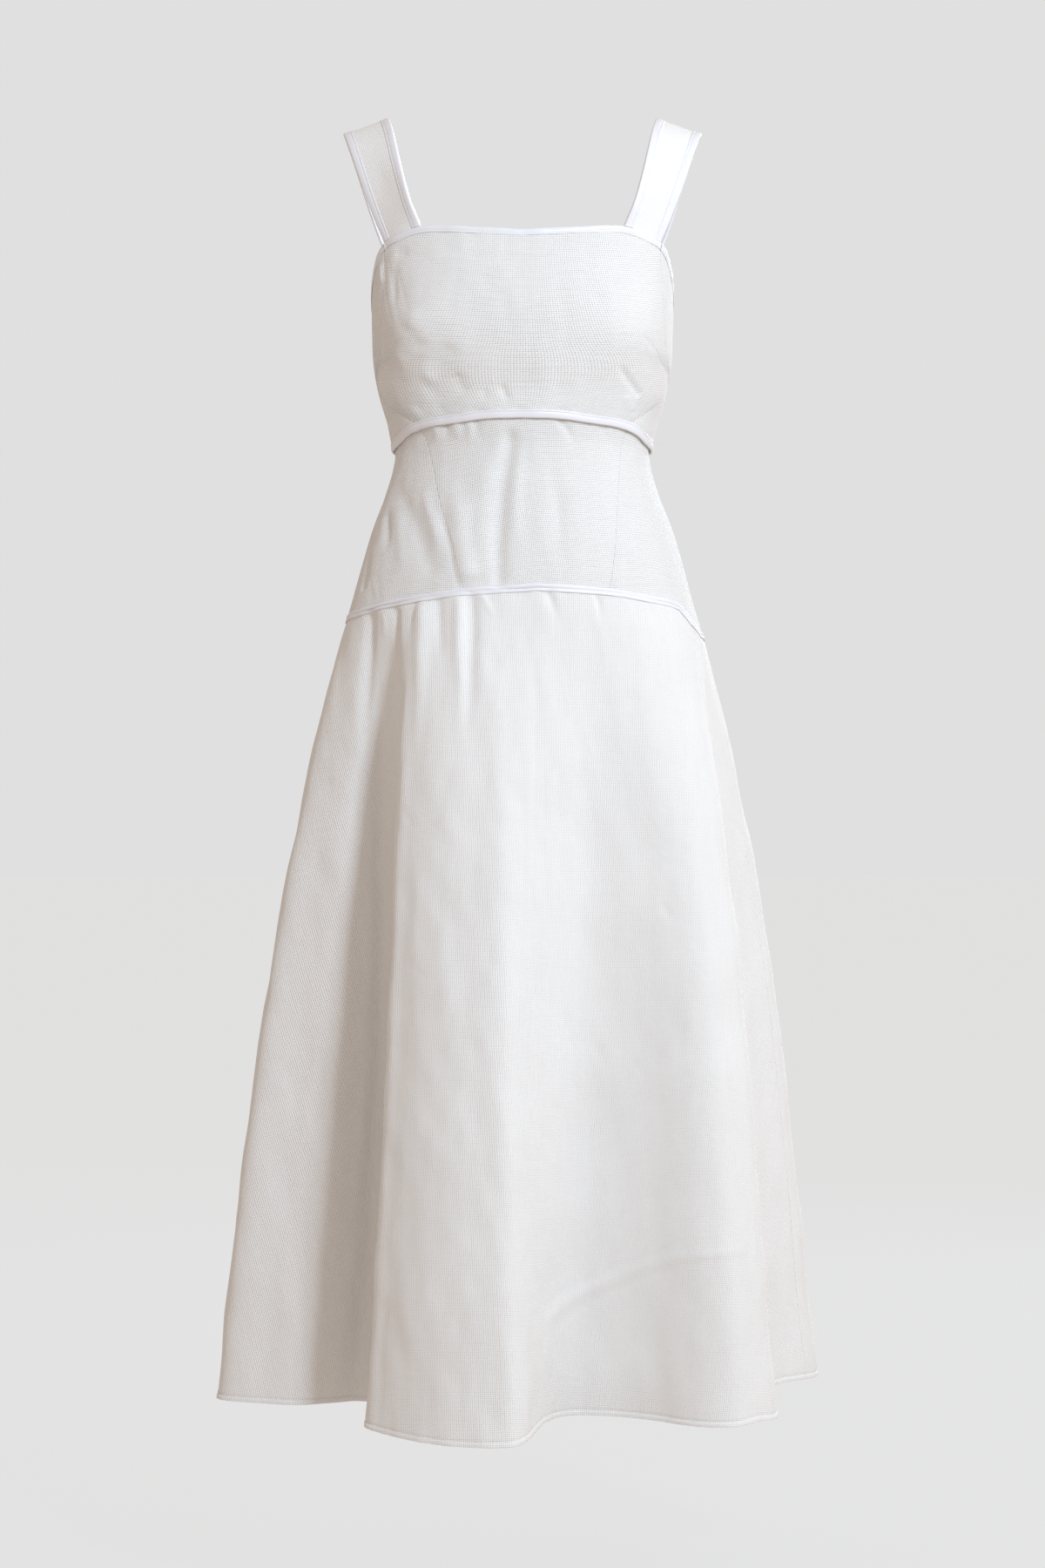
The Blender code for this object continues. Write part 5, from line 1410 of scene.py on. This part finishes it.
# ---------------------------------------------------------------- zip
def make_zip():
    """Both tapes and the coil between them behind the back, and the finish of the slider and pull."""
    top = float(top_edge(np.array(180.0))) - ZIP_START
    heights = np.linspace(top, top - ZIP_LENGTH, ZIP_ROWS)
    line = np.stack([np.full_like(heights, 180.0), heights], axis=-1)

    def behind(angle, z, inwards):
        base = whole(angle, z)
        return base + normal(whole, angle, z) * (whole_relief(angle, z, base) - inwards)[:, None]

    across = spaced(ZIP_TAPE_WIDTH - SEAM_GAP / 2, ZIP_STEP) + SEAM_GAP / 2
    rows = np.array([behind(*beside(whole, line, -a).T, TURNING + LAYER_GAP) for a in across[::-1]])
    outer = rows.transpose(1, 0, 2)
    flat = np.stack(np.meshgrid(across, heights), axis=-1)
    thickness = np.full(outer.shape[:2], TAPE)
    for node, points in (("zip_tape_left", outer), ("zip_tape_right", flipped(outer)[:, ::-1])):
        shell(node + "_woven", points, thickness, flat, ZIP_TAPE, [node])

    turns = ZIP_LENGTH / COIL_PITCH
    steps = int(turns * COIL_STEPS)
    share = np.linspace(0, 1, steps)
    z = top - share * ZIP_LENGTH
    angle = np.full(steps, 180.0)
    middle = behind(angle, z, TURNING + LAYER_GAP + TAPE + COIL_RADIUS + COIL_GAP)
    phase = 2 * math.pi * turns * share
    across, deep = np.cos(phase) * COIL_RADIUS * COIL_WIDER, np.sin(phase) * COIL_RADIUS
    middle = middle + np.stack([across, deep, 0 * phase], axis=-1)
    run = unit(np.gradient(middle, axis=0))
    side = unit(np.cross(run, (0.0, 0.0, 1.0)))
    up = np.cross(side, run)
    quarters = np.linspace(0, 2 * math.pi, 5)[:-1]
    rings = [middle + COIL_WIRE * (math.cos(t) * side + math.sin(t) * up) for t in quarters]
    tube("zip_coil", np.array(rings), ENAMEL)
    for name in ("zip_slider", "zip_pull"):
        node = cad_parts[name]
        node.data.materials.clear()
        node.data.materials.append(ENAMEL)


# ---------------------------------------------------------------- studio
BACKDROP = 0.745  # linear grey of the backdrop and floor
AMBIENT = (0.565, 0.488, 0.432)  # warm light from all round
FLOOR_HEIGHT, FLOOR_RADIUS = -1.42, 30.0
FLOOR_GREY, FLOOR_DIMMED = 0.05, 0.02  # the light that it takes, and how much less it glows for that
# Where each light stands, what it points at, its width and height in metres, its power and its colour.
Light = namedtuple("Light", "name place target size power colour")
LIGHTS = [
    Light("key", (1.31, -2.75, 1.0), (0.0, 0.0, -0.2), (0.45, 0.9), 73.0, (0.71, 0.86, 1.0)),
    Light("right_side", (2.95, -0.52, 0.2), (0.0, 0.0, -0.6), (1.2, 2.0), 21.0, (0.94, 0.97, 1.0)),
    Light("back", (1.3, 2.8, 0.8), (0.0, 0.0, -0.4), (0.6, 1.0), 62.0, (0.73, 0.86, 1.0)),
]


def area_light(name, place, target, size, power, colour):
    data = bpy.data.lights.new(name, "AREA")
    data.shape = "RECTANGLE"
    data.size, data.size_y = size
    data.energy = power
    data.color = colour
    obj = bpy.data.objects.new(name, data)
    bpy.context.scene.collection.objects.link(obj)
    obj.location = place
    obj.rotation_euler = (Vector(target) - Vector(place)).to_track_quat("-Z", "Y").to_euler()


def make_floor():
    """A wide pale floor that glows as evenly as the backdrop, and takes a little light and shadow."""
    bpy.ops.mesh.primitive_circle_add(vertices=96, radius=FLOOR_RADIUS, fill_type="TRIFAN")
    floor = bpy.context.active_object
    floor.location = (0.0, 0.0, FLOOR_HEIGHT)
    floor.name = "studio_floor"
    material = bpy.data.materials.new("studio_floor")
    material.use_nodes = True
    shader = material.node_tree.nodes["Principled BSDF"]
    shader.inputs["Base Color"].default_value = (FLOOR_GREY, FLOOR_GREY, FLOOR_GREY, 1)
    shader.inputs["Specular IOR Level"].default_value = 0.0
    shader.inputs["Roughness"].default_value = 1.0
    shader.inputs["Emission Color"].default_value = (1, 1, 1, 1)
    shader.inputs["Emission Strength"].default_value = BACKDROP - FLOOR_DIMMED
    floor.data.materials.append(material)
    floor.visible_diffuse = False
    floor.visible_glossy = False


def make_studio():
    world = bpy.data.worlds.new("studio")
    bpy.context.scene.world = world
    world.use_nodes = True
    nodes, links = world.node_tree.nodes, world.node_tree.links
    nodes.clear()
    out = nodes.new("ShaderNodeOutputWorld")
    mix = nodes.new("ShaderNodeMixShader")
    path = nodes.new("ShaderNodeLightPath")
    ambient, backdrop = nodes.new("ShaderNodeBackground"), nodes.new("ShaderNodeBackground")
    ambient.inputs[0].default_value = (*AMBIENT, 1)
    backdrop.inputs[0].default_value = (BACKDROP, BACKDROP, BACKDROP, 1)
    links.new(path.outputs["Is Camera Ray"], mix.inputs[0])
    links.new(ambient.outputs[0], mix.inputs[1])
    links.new(backdrop.outputs[0], mix.inputs[2])
    links.new(mix.outputs[0], out.inputs[0])
    for light in LIGHTS:
        area_light(*light)
    make_floor()


def make_camera():
    data = bpy.data.cameras.new("camera")
    data.sensor_width = 36.0
    data.lens = data.sensor_width * EYE_DISTANCE / VIEW_HEIGHT
    camera = bpy.data.objects.new("camera", data)
    bpy.context.scene.collection.objects.link(camera)
    camera.location = (0.0, -EYE_DISTANCE, EYE_HEIGHT)
    camera.rotation_euler = (math.radians(90.0), 0.0, 0.0)
    bpy.context.scene.camera = camera
    bpy.context.scene.view_settings.view_transform = "Standard"


# ---------------------------------------------------------------- the dress
def main():
    make_camera()
    make_studio()
    for part, cloth, size, area in make_panels():
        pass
    for strap, size in make_straps():
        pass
    make_bindings()
    make_stitches()
    make_zip()


main()
